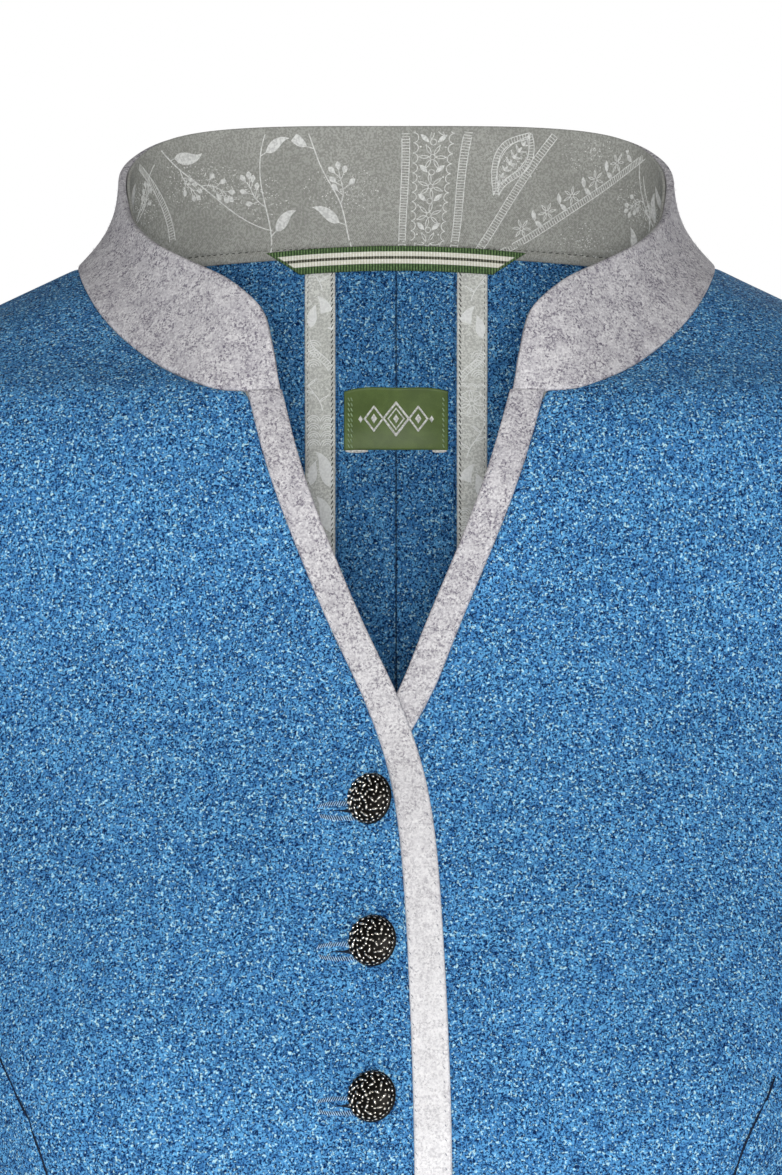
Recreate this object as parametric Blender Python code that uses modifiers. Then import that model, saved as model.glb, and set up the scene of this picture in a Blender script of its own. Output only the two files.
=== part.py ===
"""A boiled wool jacket with a felt stand collar and felt-banded front, filled out as it is worn.

Metres, +Z up. The origin lies midway between the two points where a shoulder seam meets the neck.
+X is the wearer's left, and the front faces -Y. The wearer's right front laps over the left one.
"""

import math
from collections import namedtuple

import bmesh
import bpy
import numpy as np
from mathutils import Vector
from mathutils.bvhtree import BVHTree

# Thickness of each cloth, and the clearance that neighbours keep
WOOL = 0.0020
FELT = 0.0024
COTTON = 0.0010
TAPE = 0.0010
SEAM_GAP = 0.0003
LAYER_GAP = 0.0003

# Body sections: half the width, and the depth in front of and behind the shoulder line
Level = namedtuple("Level", "height half_width front back")
LEVELS = (
    Level(-0.600, 0.1870, 0.1260, 0.1270),
    Level(-0.530, 0.1720, 0.1150, 0.1100),
    Level(-0.470, 0.1560, 0.1055, 0.0920),
    Level(-0.410, 0.1450, 0.1005, 0.0790),
    Level(-0.360, 0.1500, 0.1060, 0.0820),
    Level(-0.300, 0.1650, 0.1180, 0.0910),
    Level(-0.245, 0.1735, 0.1230, 0.0985),
    Level(-0.200, 0.1765, 0.1170, 0.1025),
    Level(-0.160, 0.1795, 0.1060, 0.1035),
    Level(-0.130, 0.1825, 0.0965, 0.1025),
    Level(-0.100, 0.1870, 0.0900, 0.1000),
    Level(-0.075, 0.1930, 0.0865, 0.0965),
    Level(-0.055, 0.1960, 0.0825, 0.0925),
    Level(-0.040, 0.1840, 0.0750, 0.0885),
    Level(-0.030, 0.1620, 0.0620, 0.0855),
    Level(-0.020, 0.1390, 0.0510, 0.0820),
    Level(-0.010, 0.1172, 0.0400, 0.0785),
    Level(0.000, 0.0965, 0.0300, 0.0745),
    Level(0.010, 0.0760, 0.0220, 0.0695),
)
SQUARENESS = 2.25

# Bust shaping that the two princess seams give
BUST_RISE = 0.030
BUST_ACROSS = 0.094
BUST_HEIGHT = -0.256
BUST_WIDE = 0.043
BUST_TALL = 0.052

# Armhole: an upright oval round each side
ARMHOLE_TOP = -0.0455
ARMHOLE_BOTTOM = -0.2180
ARMHOLE_FRONT = math.radians(17.5)
ARMHOLE_BACK = math.radians(17.0)
PRINCESS_TOP = math.radians(102.0)

# Free edge of each front, measured from the centre towards the panel's own side
Edge = namedtuple("Edge", "height over under")
FRONT_EDGE = (
    Edge(-0.6000, -0.0150, -0.0185),
    Edge(-0.2600, -0.0148, -0.0185),
    Edge(-0.2160, -0.0135, -0.0180),
    Edge(-0.1870, -0.0120, -0.0168),
    Edge(-0.1586, -0.0091, -0.0135),
    Edge(-0.1470, -0.0062, -0.0095),
    Edge(-0.1380, -0.0033, -0.0052),
    Edge(-0.1290, 0.0002, -0.0002),
    Edge(-0.1153, 0.0066, 0.0056),
    Edge(-0.1008, 0.0130, 0.0117),
    Edge(-0.0715, 0.0247, 0.0237),
    Edge(-0.0568, 0.0296, 0.0287),
    Edge(-0.0392, 0.0339, 0.0336),
)
V_POINT = -0.1290
COLLAR_POINT = -0.0392
BAND_WIDTH = 0.0098
BAND_PROUD = 0.0002

# Heights of the rows of the fronts, from the hem to the collar
FRONT_ROWS = (-0.600, -0.560, -0.520, -0.480, -0.440, -0.400, -0.360, -0.325, -0.290, -0.262,
              -0.235, -0.210, -0.187, -0.167, -0.150, -0.138, V_POINT, -0.110, -0.088, -0.064,
              COLLAR_POINT)

# Princess seam over the bust: distance from the centre at each height
Seam = namedtuple("Seam", "height across")
PRINCESS = (
    Seam(-0.600, 0.1120),
    Seam(-0.520, 0.0980),
    Seam(-0.440, 0.0860),
    Seam(-0.400, 0.0840),
    Seam(-0.325, 0.0920),
    Seam(-0.290, 0.0970),
    Seam(-0.264, 0.1010),
    Seam(-0.248, 0.1048),
    Seam(-0.230, 0.1143),
    Seam(-0.190, 0.1360),
    Seam(-0.150, 0.1600),
)
PRINCESS_ROWS = (-0.600, -0.560, -0.520, -0.480, -0.440, -0.400, -0.360, -0.325, -0.290, -0.262,
                 -0.230, -0.190)

# Back seam beside the centre back
BACK_SEAM = (
    Seam(-0.600, 0.0420),
    Seam(-0.500, 0.0320),
    Seam(-0.410, 0.0250),
    Seam(-0.300, 0.0225),
    Seam(-0.200, 0.0200),
    Seam(-0.100, 0.0187),
    Seam(0.010, 0.0185),
)
BACK_ROWS = (-0.600, -0.560, -0.520, -0.480, -0.440, -0.400, -0.360, -0.320, -0.280, -0.240,
             -0.205, -0.170, -0.135, -0.105, -0.075, -0.047, -0.020)
SIDE_ROWS = (-0.600, -0.560, -0.520, -0.480, -0.440, -0.400, -0.360, -0.325, -0.290, -0.268,
             -0.250, -0.234)

# Neck seam from the front band to the shoulder, then round the back
Neck = namedtuple("Neck", "across height")
NECK_FRONT = (
    Neck(0.0437, COLLAR_POINT),
    Neck(0.0511, -0.0387),
    Neck(0.0588, -0.0364),
    Neck(0.0673, -0.0326),
    Neck(0.0759, -0.0270),
    Neck(0.0846, -0.0193),
    Neck(0.0912, -0.0108),
    Neck(0.0965, 0.0000),
)
NECK_BACK_ANGLES = (16.0, 32.0, 48.0, 64.0, 78.95)
NECK_HALF_WIDTH = 0.0965
NAPE_HEIGHT = 0.0090

# Top edge of the collar above each station of the neck seam, and how far the collar hollows between
Rim = namedtuple("Rim", "across along height hollow")
COLLAR_RIM = (
    Rim(0.0355, -0.0715, -0.0308, 0.0000),
    Rim(0.0370, -0.0695, -0.0233, 0.0000),
    Rim(0.0389, -0.0670, -0.0166, 0.0000),
    Rim(0.0430, -0.0640, -0.0112, 0.0002),
    Rim(0.0500, -0.0585, -0.0057, 0.0004),
    Rim(0.0575, -0.0512, -0.0018, 0.0008),
    Rim(0.0665, -0.0415, 0.0026, 0.0012),
    Rim(0.0740, -0.0295, 0.0071, 0.0018),
    Rim(0.0800, -0.0135, 0.0130, 0.0022),
    Rim(0.0832, 0.0035, 0.0207, 0.0024),
    Rim(0.0846, 0.0190, 0.0290, 0.0026),
    Rim(0.0806, 0.0335, 0.0358, 0.0022),
    Rim(0.0700, 0.0465, 0.0416, 0.0014),
    Rim(0.0495, 0.0582, 0.0454, 0.0006),
    Rim(0.0228, 0.0648, 0.0468, 0.0002),
    Rim(0.0000, 0.0660, 0.0470, 0.0000),
)
COLLAR_STEPS = 4
NECK_MIDDLE = 0.004
LINING_INSET = 0.0008
LINING_END_INSET = 0.0010
LINING_DROP = 0.0028

# Sleeve sections below the cap: centre, half the width across the arm and front to back
Ring = namedtuple("Ring", "across along height out deep")
SLEEVE_RINGS = (
    Ring(0.2410, -0.0010, -0.2450, 0.0610, 0.0700),
    Ring(0.2510, 0.0010, -0.2950, 0.0575, 0.0655),
    Ring(0.2615, 0.0010, -0.3450, 0.0545, 0.0610),
    Ring(0.2720, -0.0010, -0.3950, 0.0515, 0.0570),
    Ring(0.2815, -0.0070, -0.4450, 0.0490, 0.0535),
    Ring(0.2900, -0.0180, -0.4950, 0.0462, 0.0505),
    Ring(0.2975, -0.0310, -0.5450, 0.0432, 0.0478),
    Ring(0.3065, -0.0480, -0.6100, 0.0400, 0.0450),
)
ARM_TILT = math.radians(11.0)
CAP_STEPS = 6
UNDER_SLEEVE_FRONT = 5
UNDER_SLEEVE_BACK = 3

# How the over front lies on the under one
LAP_LIFT = 0.0030
LAP_FULL = 0.0220
LAP_NONE = 0.0520
LAP_TOP = -0.0800
LAP_BELOW = -0.1220

# How a sleeve leaves the armhole: its direction at the underarm and at the shoulder tip, across and up
LEAVE_UNDERARM = (0.35, -0.85)
LEAVE_TIP = (1.10, -0.43)
LEAVE_SPREAD = 0.12
CAP_FULLNESS = 0.42
CAP_FALL = 0.40

# Panel widths in quads
FRONT_ACROSS = 8
SIDE_ACROSS = 6
BAND_ACROSS = 2
BACK_ACROSS = 2

# Buttons
BUTTON_RADIUS = 0.0075
BUTTON_DOME = 0.0036
BUTTON_RIM = 0.0010
SHANK_RADIUS = 0.0016
SHANK_ACROSS = -0.0046
TOP_SHANK_ACROSS = -0.0036
TOP_BUTTON = -0.1589
SECOND_BUTTON = -0.1985
BUTTON_PITCH = 0.0435
BUTTON_HEIGHTS = (TOP_BUTTON, *(SECOND_BUTTON - BUTTON_PITCH * n for n in range(7)))
BUTTON_NOD = math.radians(10.0)
BUTTON_TURN = math.radians(26.0)
TOP_BUTTON_TURN = math.radians(36.0)
BUTTON_SIDES = 16

# Trims inside the back neck
LOOP_HALF_TOP = 0.0405
LOOP_HALF_BOTTOM = 0.0300
LOOP_TOP = 0.0096
LOOP_WIDTH = 0.0078
LOOP_ARCH = 0.0026
LOOP_STEPS = 12
LABEL_HALF_WIDTH = 0.0165
LABEL_ROWS = (-0.0531, -0.0470, -0.0345)
BINDING_WIDTH = 0.0096
BINDING_TOP = 0.0030

Finish = namedtuple("Finish", "colour roughness metallic")
FINISHES = {
    "blue_wool": Finish((0.075, 0.205, 0.420), 0.95, 0.0),
    "grey_felt": Finish((0.560, 0.550, 0.560), 0.95, 0.0),
    "printed_cotton": Finish((0.290, 0.292, 0.262), 0.80, 0.0),
    "striped_tape": Finish((0.060, 0.130, 0.045), 0.85, 0.0),
    "green_satin": Finish((0.085, 0.150, 0.040), 0.45, 0.0),
    "old_silver": Finish((0.360, 0.350, 0.330), 0.30, 1.0),
}


def table_curve(rows, key, column):
    """A smooth function through one column of a table, with no overshoot between its rows."""
    rows = sorted(rows, key=lambda row: getattr(row, key))
    knots = np.array([getattr(row, key) for row in rows])
    values = np.array([getattr(row, column) for row in rows])
    steps = np.diff(knots)
    slopes = np.diff(values) / steps
    tangents = np.concatenate(([slopes[0]], np.zeros(len(slopes) - 1), [slopes[-1]]))
    for i in range(1, len(slopes)):
        before, after = slopes[i - 1], slopes[i]
        if before * after > 0:
            heavy, light = 2 * steps[i] + steps[i - 1], steps[i] + 2 * steps[i - 1]
            tangents[i] = (heavy + light) / (heavy / before + light / after)

    def at(x):
        i = int(np.clip(np.searchsorted(knots, x) - 1, 0, len(steps) - 1))
        t = (x - knots[i]) / steps[i]
        rise = values[i + 1] - values[i]
        start, end = tangents[i] * steps[i], tangents[i + 1] * steps[i]
        square, cube = 3 * rise - 2 * start - end, start + end - 2 * rise
        return values[i] + t * start + t * t * square + t ** 3 * cube

    return at


half_width_at = table_curve(LEVELS, "height", "half_width")
front_at = table_curve(LEVELS, "height", "front")
back_at = table_curve(LEVELS, "height", "back")
princess_at = table_curve(PRINCESS, "height", "across")
back_seam_at = table_curve(BACK_SEAM, "height", "across")
over_edge_at = table_curve(FRONT_EDGE, "height", "over")
under_edge_at = table_curve(FRONT_EDGE, "height", "under")


def smoothstep(low, high, x):
    t = min(max((x - low) / (high - low), 0.0), 1.0)
    return t * t * (3 - 2 * t)


def body_point(angle, height):
    """A point of the body's outer surface, on the wearer's left.

    The angle is -90 degrees at the centre front, 0 at the side and +90 at the centre back.
    An address, below, is such an angle with a height.
    """
    depth = back_at(height) if angle > 0 else front_at(height)
    across, along = math.cos(angle), math.sin(angle)
    power = SQUARENESS
    reach = (abs(across / half_width_at(height)) ** power + abs(along / depth) ** power) ** (-1 / power)
    if angle < 0:
        sideways = (abs(reach * across) - BUST_ACROSS) / BUST_WIDE
        upwards = (height - BUST_HEIGHT) / BUST_TALL
        reach += BUST_RISE * along ** 2 * math.exp(-(sideways ** 2 + upwards ** 2) / 2)
    return np.array((reach * across, reach * along, height))


def body_normal(angle, height):
    step = 1e-4
    round_body = body_point(angle + step, height) - body_point(angle - step, height)
    up_body = body_point(angle, height + step) - body_point(angle, height - step)
    normal = np.cross(round_body, up_body)
    return normal / np.linalg.norm(normal)


def angle_at(across, height, front):
    """The angle of the body point that lies this far from the centre."""
    depth = front_at(height) if front else back_at(height)
    share = min(abs(across) / half_width_at(height), 1.0)
    along = depth * (1 - share ** SQUARENESS) ** (1 / SQUARENESS)
    return math.atan2(-along if front else along, across)


def lap(angle, height):
    """How far the over front stands off the body, to clear the under front."""
    across = body_point(angle, height)[0]
    near_centre = 1 - smoothstep(LAP_FULL, LAP_NONE, across)
    return LAP_LIFT * near_centre * (1 - smoothstep(LAP_BELOW, LAP_TOP, height))


def armhole(turn, front):
    """An address on the armhole: turn 0 is the shoulder tip and pi the underarm."""
    middle = (ARMHOLE_TOP + ARMHOLE_BOTTOM) / 2
    height = middle + (ARMHOLE_TOP - ARMHOLE_BOTTOM) / 2 * math.cos(turn)
    widest = -ARMHOLE_FRONT if front else ARMHOLE_BACK
    return (widest * math.sin(turn), height)


def between(start, end, count):
    """count + 1 addresses spaced evenly from start to end."""
    return [tuple(np.array(start) + (np.array(end) - np.array(start)) * i / count) for i in range(count + 1)]


def patch(left, right, bottom, top):
    """Addresses of a four-sided panel, blended from its four edges."""
    rows, columns = len(left) - 1, len(bottom) - 1
    left, right, bottom, top = (np.array(edge) for edge in (left, right, bottom, top))
    grid = np.zeros((rows + 1, columns + 1, 2))
    for i in range(rows + 1):
        for j in range(columns + 1):
            v, u = i / rows, j / columns
            sides = (1 - u) * left[i] + u * right[i]
            ends = (1 - v) * bottom[j] + v * top[j]
            corners = ((1 - u) * (1 - v) * left[0] + u * (1 - v) * right[0]
                       + (1 - u) * v * left[-1] + u * v * right[-1])
            grid[i, j] = sides + ends - corners
    return grid


def on_body(grid, side, thickness, lift=None, depth=0.0):
    """The outer and inner points of a panel on the wearer's left (side 1) or right (side -1)."""
    outer, inner = np.zeros(grid.shape[:2] + (3,)), np.zeros(grid.shape[:2] + (3,))
    mirror = np.array((side, 1.0, 1.0))
    for place in np.ndindex(grid.shape[:2]):
        angle, height = grid[place]
        normal = body_normal(angle, height)
        rise = (lift(angle, height) if lift else 0.0) - depth
        outer[place] = (body_point(angle, height) + normal * rise) * mirror
        inner[place] = outer[place] - normal * thickness * mirror
    return outer, inner


def drawn_in(points, gap, edges="lrbt"):
    """The same sheet of points with the named edges drawn in, so that neighbours stay clear of each other."""
    moved = points.copy()
    pairs = {"l": ((slice(None), 0), (slice(None), 1)), "r": ((slice(None), -1), (slice(None), -2)),
             "b": ((0,), (1,)), "t": ((-1,), (-2,))}
    for name in edges:
        edge, inside = pairs[name]
        direction = points[inside] - points[edge]
        moved[edge] += gap * direction / np.linalg.norm(direction, axis=-1, keepdims=True)
    return moved


def sheet_normals(points, closed=False):
    """Unit normals of a sheet of points, from the differences between neighbours."""
    if closed:
        along = np.roll(points, -1, axis=1) - np.roll(points, 1, axis=1)
    else:
        along = np.gradient(points, axis=1)
    normals = np.cross(along, np.gradient(points, axis=0))
    return normals / np.linalg.norm(normals, axis=-1, keepdims=True)


def sampled(points, row, column):
    """A point of the sheet at a row and column that may fall between its own."""
    i, j = min(int(row), len(points) - 2), min(int(column), points.shape[1] - 2)
    v, u = row - i, column - j
    low = points[i, j] * (1 - u) + points[i, j + 1] * u
    high = points[i + 1, j] * (1 - u) + points[i + 1, j + 1] * u
    return low * (1 - v) + high * v


def inward_normals(points):
    """Unit normals of a sheet of points, turned towards the middle of the body."""
    normals = sheet_normals(points)
    return -normals * np.sign((normals * (points * (1, 1, 0))).sum(axis=-1).mean())


def finish(name):
    """The material of that name, made once."""
    material = bpy.data.materials.get(name)
    if material is None:
        look = FINISHES[name]
        material = bpy.data.materials.new(name)
        material.use_nodes = True
        shader = material.node_tree.nodes["Principled BSDF"]
        shader.inputs["Base Color"].default_value = (*look.colour, 1.0)
        shader.inputs["Roughness"].default_value = look.roughness
        shader.inputs["Metallic"].default_value = look.metallic
        material.diffuse_color = (*look.colour, 1.0)
    return material


def add_object(name, mesh, material):
    obj = bpy.data.objects.new(name, mesh)
    mesh.materials.append(finish(material))
    bpy.data.collections["boiled_wool_jacket"].objects.link(obj)
    return obj


def cloth(name, outer, inner, material):
    """A wall of cloth: a grid moved to the outer points, extruded once and moved to the inner ones."""
    rows, columns = outer.shape[0] - 1, outer.shape[1] - 1
    work = bmesh.new()
    bmesh.ops.create_grid(work, x_segments=columns, y_segments=rows, size=0.5)
    place = {}
    for vertex in work.verts:
        place[vertex] = (round((vertex.co.y + 0.5) * rows), round((vertex.co.x + 0.5) * columns))
        vertex.co.z = 1.0
    copies = bmesh.ops.extrude_face_region(work, geom=work.faces[:])["geom"]
    for vertex in (item for item in copies if isinstance(item, bmesh.types.BMVert)):
        place[vertex] = (round((vertex.co.y + 0.5) * rows), round((vertex.co.x + 0.5) * columns))
        vertex.co = Vector(inner[place[vertex]])
        place[vertex] = None
    for vertex in work.verts:
        if place[vertex] is not None:
            vertex.co = Vector(outer[place[vertex]])
    bmesh.ops.recalc_face_normals(work, faces=work.faces[:])
    if work.calc_volume(signed=True) < 0:
        bmesh.ops.reverse_faces(work, faces=work.faces[:])
    mesh = bpy.data.meshes.new(name)
    work.to_mesh(mesh)
    work.free()
    mesh.shade_smooth()
    mesh.set_sharp_from_angle(angle=math.radians(50))
    return add_object(name, mesh, material)


def wool_panel(name, outer, inner):
    """A panel of the body, drawn in on every side by its half of the seam gap."""
    return cloth(name, drawn_in(outer, SEAM_GAP / 2), drawn_in(inner, SEAM_GAP / 2), "blue_wool")


def surface_tree(obj):
    """The object's faces, for finding where a line meets them."""
    return BVHTree.FromPolygons([v.co for v in obj.data.vertices], [p.vertices for p in obj.data.polygons])


def neck_stations():
    """Addresses of the neck seam from the front edge of the band to the centre back."""
    edge = over_edge_at(COLLAR_POINT)
    band = [angle_at(edge + BAND_WIDTH * i / BAND_ACROSS, COLLAR_POINT, True) for i in range(BAND_ACROSS)]
    stations = [(angle, COLLAR_POINT) for angle in band]
    stations += [(angle_at(n.across, n.height, True), n.height) for n in NECK_FRONT[:-1]]
    stations.append((0.0, NECK_FRONT[-1].height))
    for turn in (*NECK_BACK_ANGLES, 90.0):
        across = NECK_HALF_WIDTH * math.cos(math.radians(turn))
        height = NAPE_HEIGHT * math.sin(math.radians(turn)) ** 2
        stations.append((angle_at(across, height, False), height))
    return stations


def armhole_ring():
    """Addresses round the armhole, from the underarm up the front, over the tip and down the back."""
    rows_above = len(FRONT_ROWS) + len(NECK_FRONT) - 1 - len(PRINCESS_ROWS) - 1
    rows_behind = len(BACK_ROWS) + len(NECK_BACK_ANGLES) + 1 - len(SIDE_ROWS) - 1
    below = [armhole(math.pi + (PRINCESS_TOP - math.pi) * i / SIDE_ACROSS, True) for i in range(SIDE_ACROSS)]
    above = [armhole(PRINCESS_TOP * (1 - i / rows_above), True) for i in range(rows_above)]
    behind = [armhole(math.pi * i / rows_behind, False) for i in range(rows_behind + 1)]
    return below, above, behind


def front_panels(side, over):
    """A front, its edge band and the side front beyond the princess seam."""
    edge_at = over_edge_at if over else under_edge_at
    lift = lap if over else None
    below, above, behind = armhole_ring()
    shoulder = between((0.0, 0.0), (0.0, ARMHOLE_TOP), FRONT_ACROSS)
    princess = [(angle_at(princess_at(z), z, True), z) for z in PRINCESS_ROWS]
    seam = [(angle_at(edge_at(z) + BAND_WIDTH, z, True), z) for z in FRONT_ROWS]
    edge = [(angle_at(edge_at(z), z, True), z) for z in FRONT_ROWS]
    neck = neck_stations()[BAND_ACROSS + 1:BAND_ACROSS + len(NECK_FRONT)]
    name = "right" if side < 0 else "left"

    left, right = seam + neck, princess + above + [behind[0]]
    front = patch(left, right, between(left[0], right[0], FRONT_ACROSS), shoulder)
    outer, inner = on_body(front, side, WOOL, lift)
    wool_panel(f"front_{name}", outer, inner)

    bottom, top = between(edge[0], seam[0], BAND_ACROSS), between(edge[-1], seam[-1], BAND_ACROSS)
    faces = on_body(patch(edge, seam, bottom, top), side, FELT, lift, depth=-BAND_PROUD)
    outer, inner = (drawn_in(face, SEAM_GAP / 2, "rt") for face in faces)
    cloth(f"edge_band_{name}", outer, inner, "grey_felt")

    side_seam = [(0.0, z) for z in SIDE_ROWS] + [(0.0, ARMHOLE_BOTTOM)]
    princess = princess + [above[0]]
    underarm = (below + [above[0]])[::-1]
    panel = patch(princess, side_seam, between(princess[0], side_seam[0], SIDE_ACROSS), underarm)
    outer, inner = on_body(panel, side, WOOL)
    wool_panel(f"side_front_{name}", outer, inner)


def back_panels(side):
    """The narrow panel beside the centre back and the wide one beyond the back seam."""
    name = "right" if side < 0 else "left"
    behind = armhole_ring()[2]
    neck_back = neck_stations()[BAND_ACROSS + len(NECK_FRONT) - 1:]
    seam = [(angle_at(back_seam_at(z), z, False), z) for z in BACK_ROWS] + [neck_back[-2]]
    centre = [(math.pi / 2, z) for z in BACK_ROWS] + [neck_back[-1]]
    bottom, top = between(centre[0], seam[0], BACK_ACROSS), between(centre[-1], seam[-1], BACK_ACROSS)
    outer, narrow_inner = on_body(patch(centre, seam, bottom, top), side, WOOL)
    wool_panel(f"centre_back_{name}", outer, narrow_inner)

    left = seam + neck_back[-3::-1]
    right = [(0.0, z) for z in SIDE_ROWS] + behind[::-1]
    shoulder = between((0.0, 0.0), (0.0, ARMHOLE_TOP), FRONT_ACROSS)
    wide = patch(left, right, between(left[0], right[0], FRONT_ACROSS), shoulder)
    outer, inner = on_body(wide, side, WOOL)
    panel = wool_panel(f"side_back_{name}", outer, inner)
    seam_binding(name, side, panel)
    return narrow_inner


def seam_binding(name, side, panel):
    """The printed strip that binds the back seam, laid on the inner face of the side back."""
    tree = surface_tree(panel)
    strip = np.zeros((len(BACK_ROWS) + 1, 3, 3))
    for i, height in enumerate((*BACK_ROWS, BINDING_TOP)):
        for j in range(3):
            across = back_seam_at(height) + 2 * SEAM_GAP + BINDING_WIDTH * j / 2
            hit = tree.ray_cast(Vector((side * across, 0.0, height)), Vector((0.0, 1.0, 0.0)))[0]
            strip[i, j] = hit
    inward = inward_normals(strip)
    outer = strip + inward * LAYER_GAP
    cloth(f"seam_binding_{name}", outer, outer + inward * COTTON, "printed_cotton")


def sleeve(side):
    """The upper and under pieces of a sleeve, from the armhole ring through the cap to the cuff."""
    name = "right" if side < 0 else "left"
    below, above, behind = armhole_ring()
    ring = below + above + behind[:-1]
    middle, half = (ARMHOLE_TOP + ARMHOLE_BOTTOM) / 2, (ARMHOLE_TOP - ARMHOLE_BOTTOM) / 2
    turns = [math.acos(np.clip((height - middle) / half, -1.0, 1.0)) for _, height in ring]
    faces = [-1.0 if i < len(below) + len(above) else 1.0 for i in range(len(ring))]
    out = np.array((math.cos(ARM_TILT), 0.0, math.sin(ARM_TILT)))
    down = np.array((math.sin(ARM_TILT), 0.0, -math.cos(ARM_TILT)))

    def section(row, turn, face):
        along = row.along + face * row.deep * math.sin(turn)
        return np.array((row.across, along, row.height)) + out * row.out * math.cos(turn)

    rows = np.zeros((CAP_STEPS + len(SLEEVE_RINGS), len(ring), 3))
    for i, (address, turn, face) in enumerate(zip(ring, turns, faces)):
        top_share = (1 + math.cos(turn)) / 2
        sideways, upwards = (1 - top_share) * np.array(LEAVE_UNDERARM) + top_share * np.array(LEAVE_TIP)
        leave = np.array((sideways, LEAVE_SPREAD * face * math.sin(turn), upwards))
        leave /= np.linalg.norm(leave)
        start = body_point(*address) + leave * SEAM_GAP
        end = section(SLEEVE_RINGS[0], turn, face)
        reach = np.linalg.norm(end - start)
        first, second = start + leave * reach * CAP_FULLNESS, end - down * reach * CAP_FALL
        for step in range(CAP_STEPS):
            t = step / CAP_STEPS
            rows[step, i] = ((1 - t) ** 3 * start + 3 * t * (1 - t) ** 2 * first
                             + 3 * t * t * (1 - t) * second + t ** 3 * end)
        for step, row in enumerate(SLEEVE_RINGS):
            rows[CAP_STEPS + step, i] = section(row, turn, face)
    normals = sheet_normals(rows, closed=True)
    centre = rows.mean(axis=1, keepdims=True)
    normals *= np.sign((normals * (rows - centre)).sum(axis=-1).mean())
    mirror = np.array((side, 1.0, 1.0))
    outer, inner = rows * mirror, (rows - normals * WOOL) * mirror
    under = [(i - UNDER_SLEEVE_BACK) % len(ring) for i in range(UNDER_SLEEVE_BACK + UNDER_SLEEVE_FRONT + 1)]
    upper = [(UNDER_SLEEVE_FRONT + i) % len(ring)
             for i in range(len(ring) - UNDER_SLEEVE_BACK - UNDER_SLEEVE_FRONT + 1)]
    for piece, columns in (("upper_sleeve", upper), ("under_sleeve", under)):
        cloth(f"{piece}_{name}", drawn_in(outer[:, columns], SEAM_GAP / 2, "lr"),
              drawn_in(inner[:, columns], SEAM_GAP / 2, "lr"), "blue_wool")


def collar_sheet():
    """Outer points of the felt collar, from the right front end round the back to the left one."""
    half = []
    for station, rim in zip(neck_stations(), COLLAR_RIM):
        foot, head = body_point(*station), np.array((rim.across, rim.along, rim.height))
        foot = foot + (head - foot) / np.linalg.norm(head - foot) * SEAM_GAP
        inward = -np.array((head[0], head[1] - NECK_MIDDLE, 0.0))
        inward /= np.linalg.norm(inward)
        column = []
        for step in range(COLLAR_STEPS + 1):
            t = step / COLLAR_STEPS
            column.append(foot + (head - foot) * t + inward * rim.hollow * math.sin(math.pi * t))
        half.append(column)
    left = np.array(half).transpose(1, 0, 2)
    right = left * np.array((-1.0, 1.0, 1.0))
    sheet = np.concatenate((right, left[:, -2::-1]), axis=1)
    sheet[:, len(half) - 1, 0] = 0.0
    return sheet


def collar():
    """The felt stand collar and the printed lining inside it. Returns the lining's inner face."""
    sheet = collar_sheet()
    normals = sheet_normals(sheet)
    away = sheet - sheet.mean(axis=(0, 1))
    normals *= np.sign((normals * away).sum(axis=-1).mean())
    cloth("collar", sheet, sheet - normals * FELT, "grey_felt")

    sheet, normals = sheet[:, 1:-1], normals[:, 1:-1]
    inside = sheet - normals * (FELT + LAYER_GAP)
    drop = inside[0] - inside[1]
    below = inside[0] + LINING_DROP * drop / np.linalg.norm(drop, axis=-1, keepdims=True)
    inside = np.concatenate((below[None], inside), axis=0)
    normals = np.concatenate((normals[:1], normals), axis=0)
    inner = inside - normals * COTTON
    faces = (drawn_in(face, LINING_INSET, "t") for face in (inside, inner))
    outer, inner = (drawn_in(face, LINING_END_INSET, "lr") for face in faces)
    cloth("collar_lining", outer, inner, "printed_cotton")
    return inner


def hanger_loop(lining):
    """A woven tape across the back neck, its ends cut and turned on the slant."""
    back = lining[0][lining[0][:, 1] > 0.0]
    order = np.argsort(back[:, 0])
    outer = np.zeros((3, LOOP_STEPS + 1, 3))
    for i in range(3):
        down = i / 2
        half = LOOP_HALF_TOP + (LOOP_HALF_BOTTOM - LOOP_HALF_TOP) * down
        for j in range(LOOP_STEPS + 1):
            across = half * (2 * j / LOOP_STEPS - 1)
            along = np.interp(across, back[order, 0], back[order, 1]) - 2 * LAYER_GAP
            height = LOOP_TOP - LOOP_WIDTH * down - LOOP_ARCH * (across / LOOP_HALF_TOP) ** 2
            outer[i, j] = (across, along, height)
    cloth("hanger_loop", outer, outer - np.array((0.0, TAPE, 0.0)), "striped_tape")


def label(panel):
    """The woven label below the loop, sewn down at its two ends. The panel is the right centre back."""
    rows = [np.interp(z, BACK_ROWS, range(len(BACK_ROWS))) for z in LABEL_ROWS]
    seam = abs(panel[int(rows[0]), -1, 0])
    columns = [BACK_ACROSS * share * LABEL_HALF_WIDTH / seam for share in (1.0, 0.5, 0.0)]
    right = np.array([[sampled(panel, row, column) for column in columns] for row in rows])
    sheet = np.concatenate((right, right[:, -2::-1] * (-1, 1, 1)), axis=1)
    inward = inward_normals(sheet)
    outer = sheet + inward * LAYER_GAP
    cloth("label", outer, outer + inward * COTTON, "green_satin")


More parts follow.
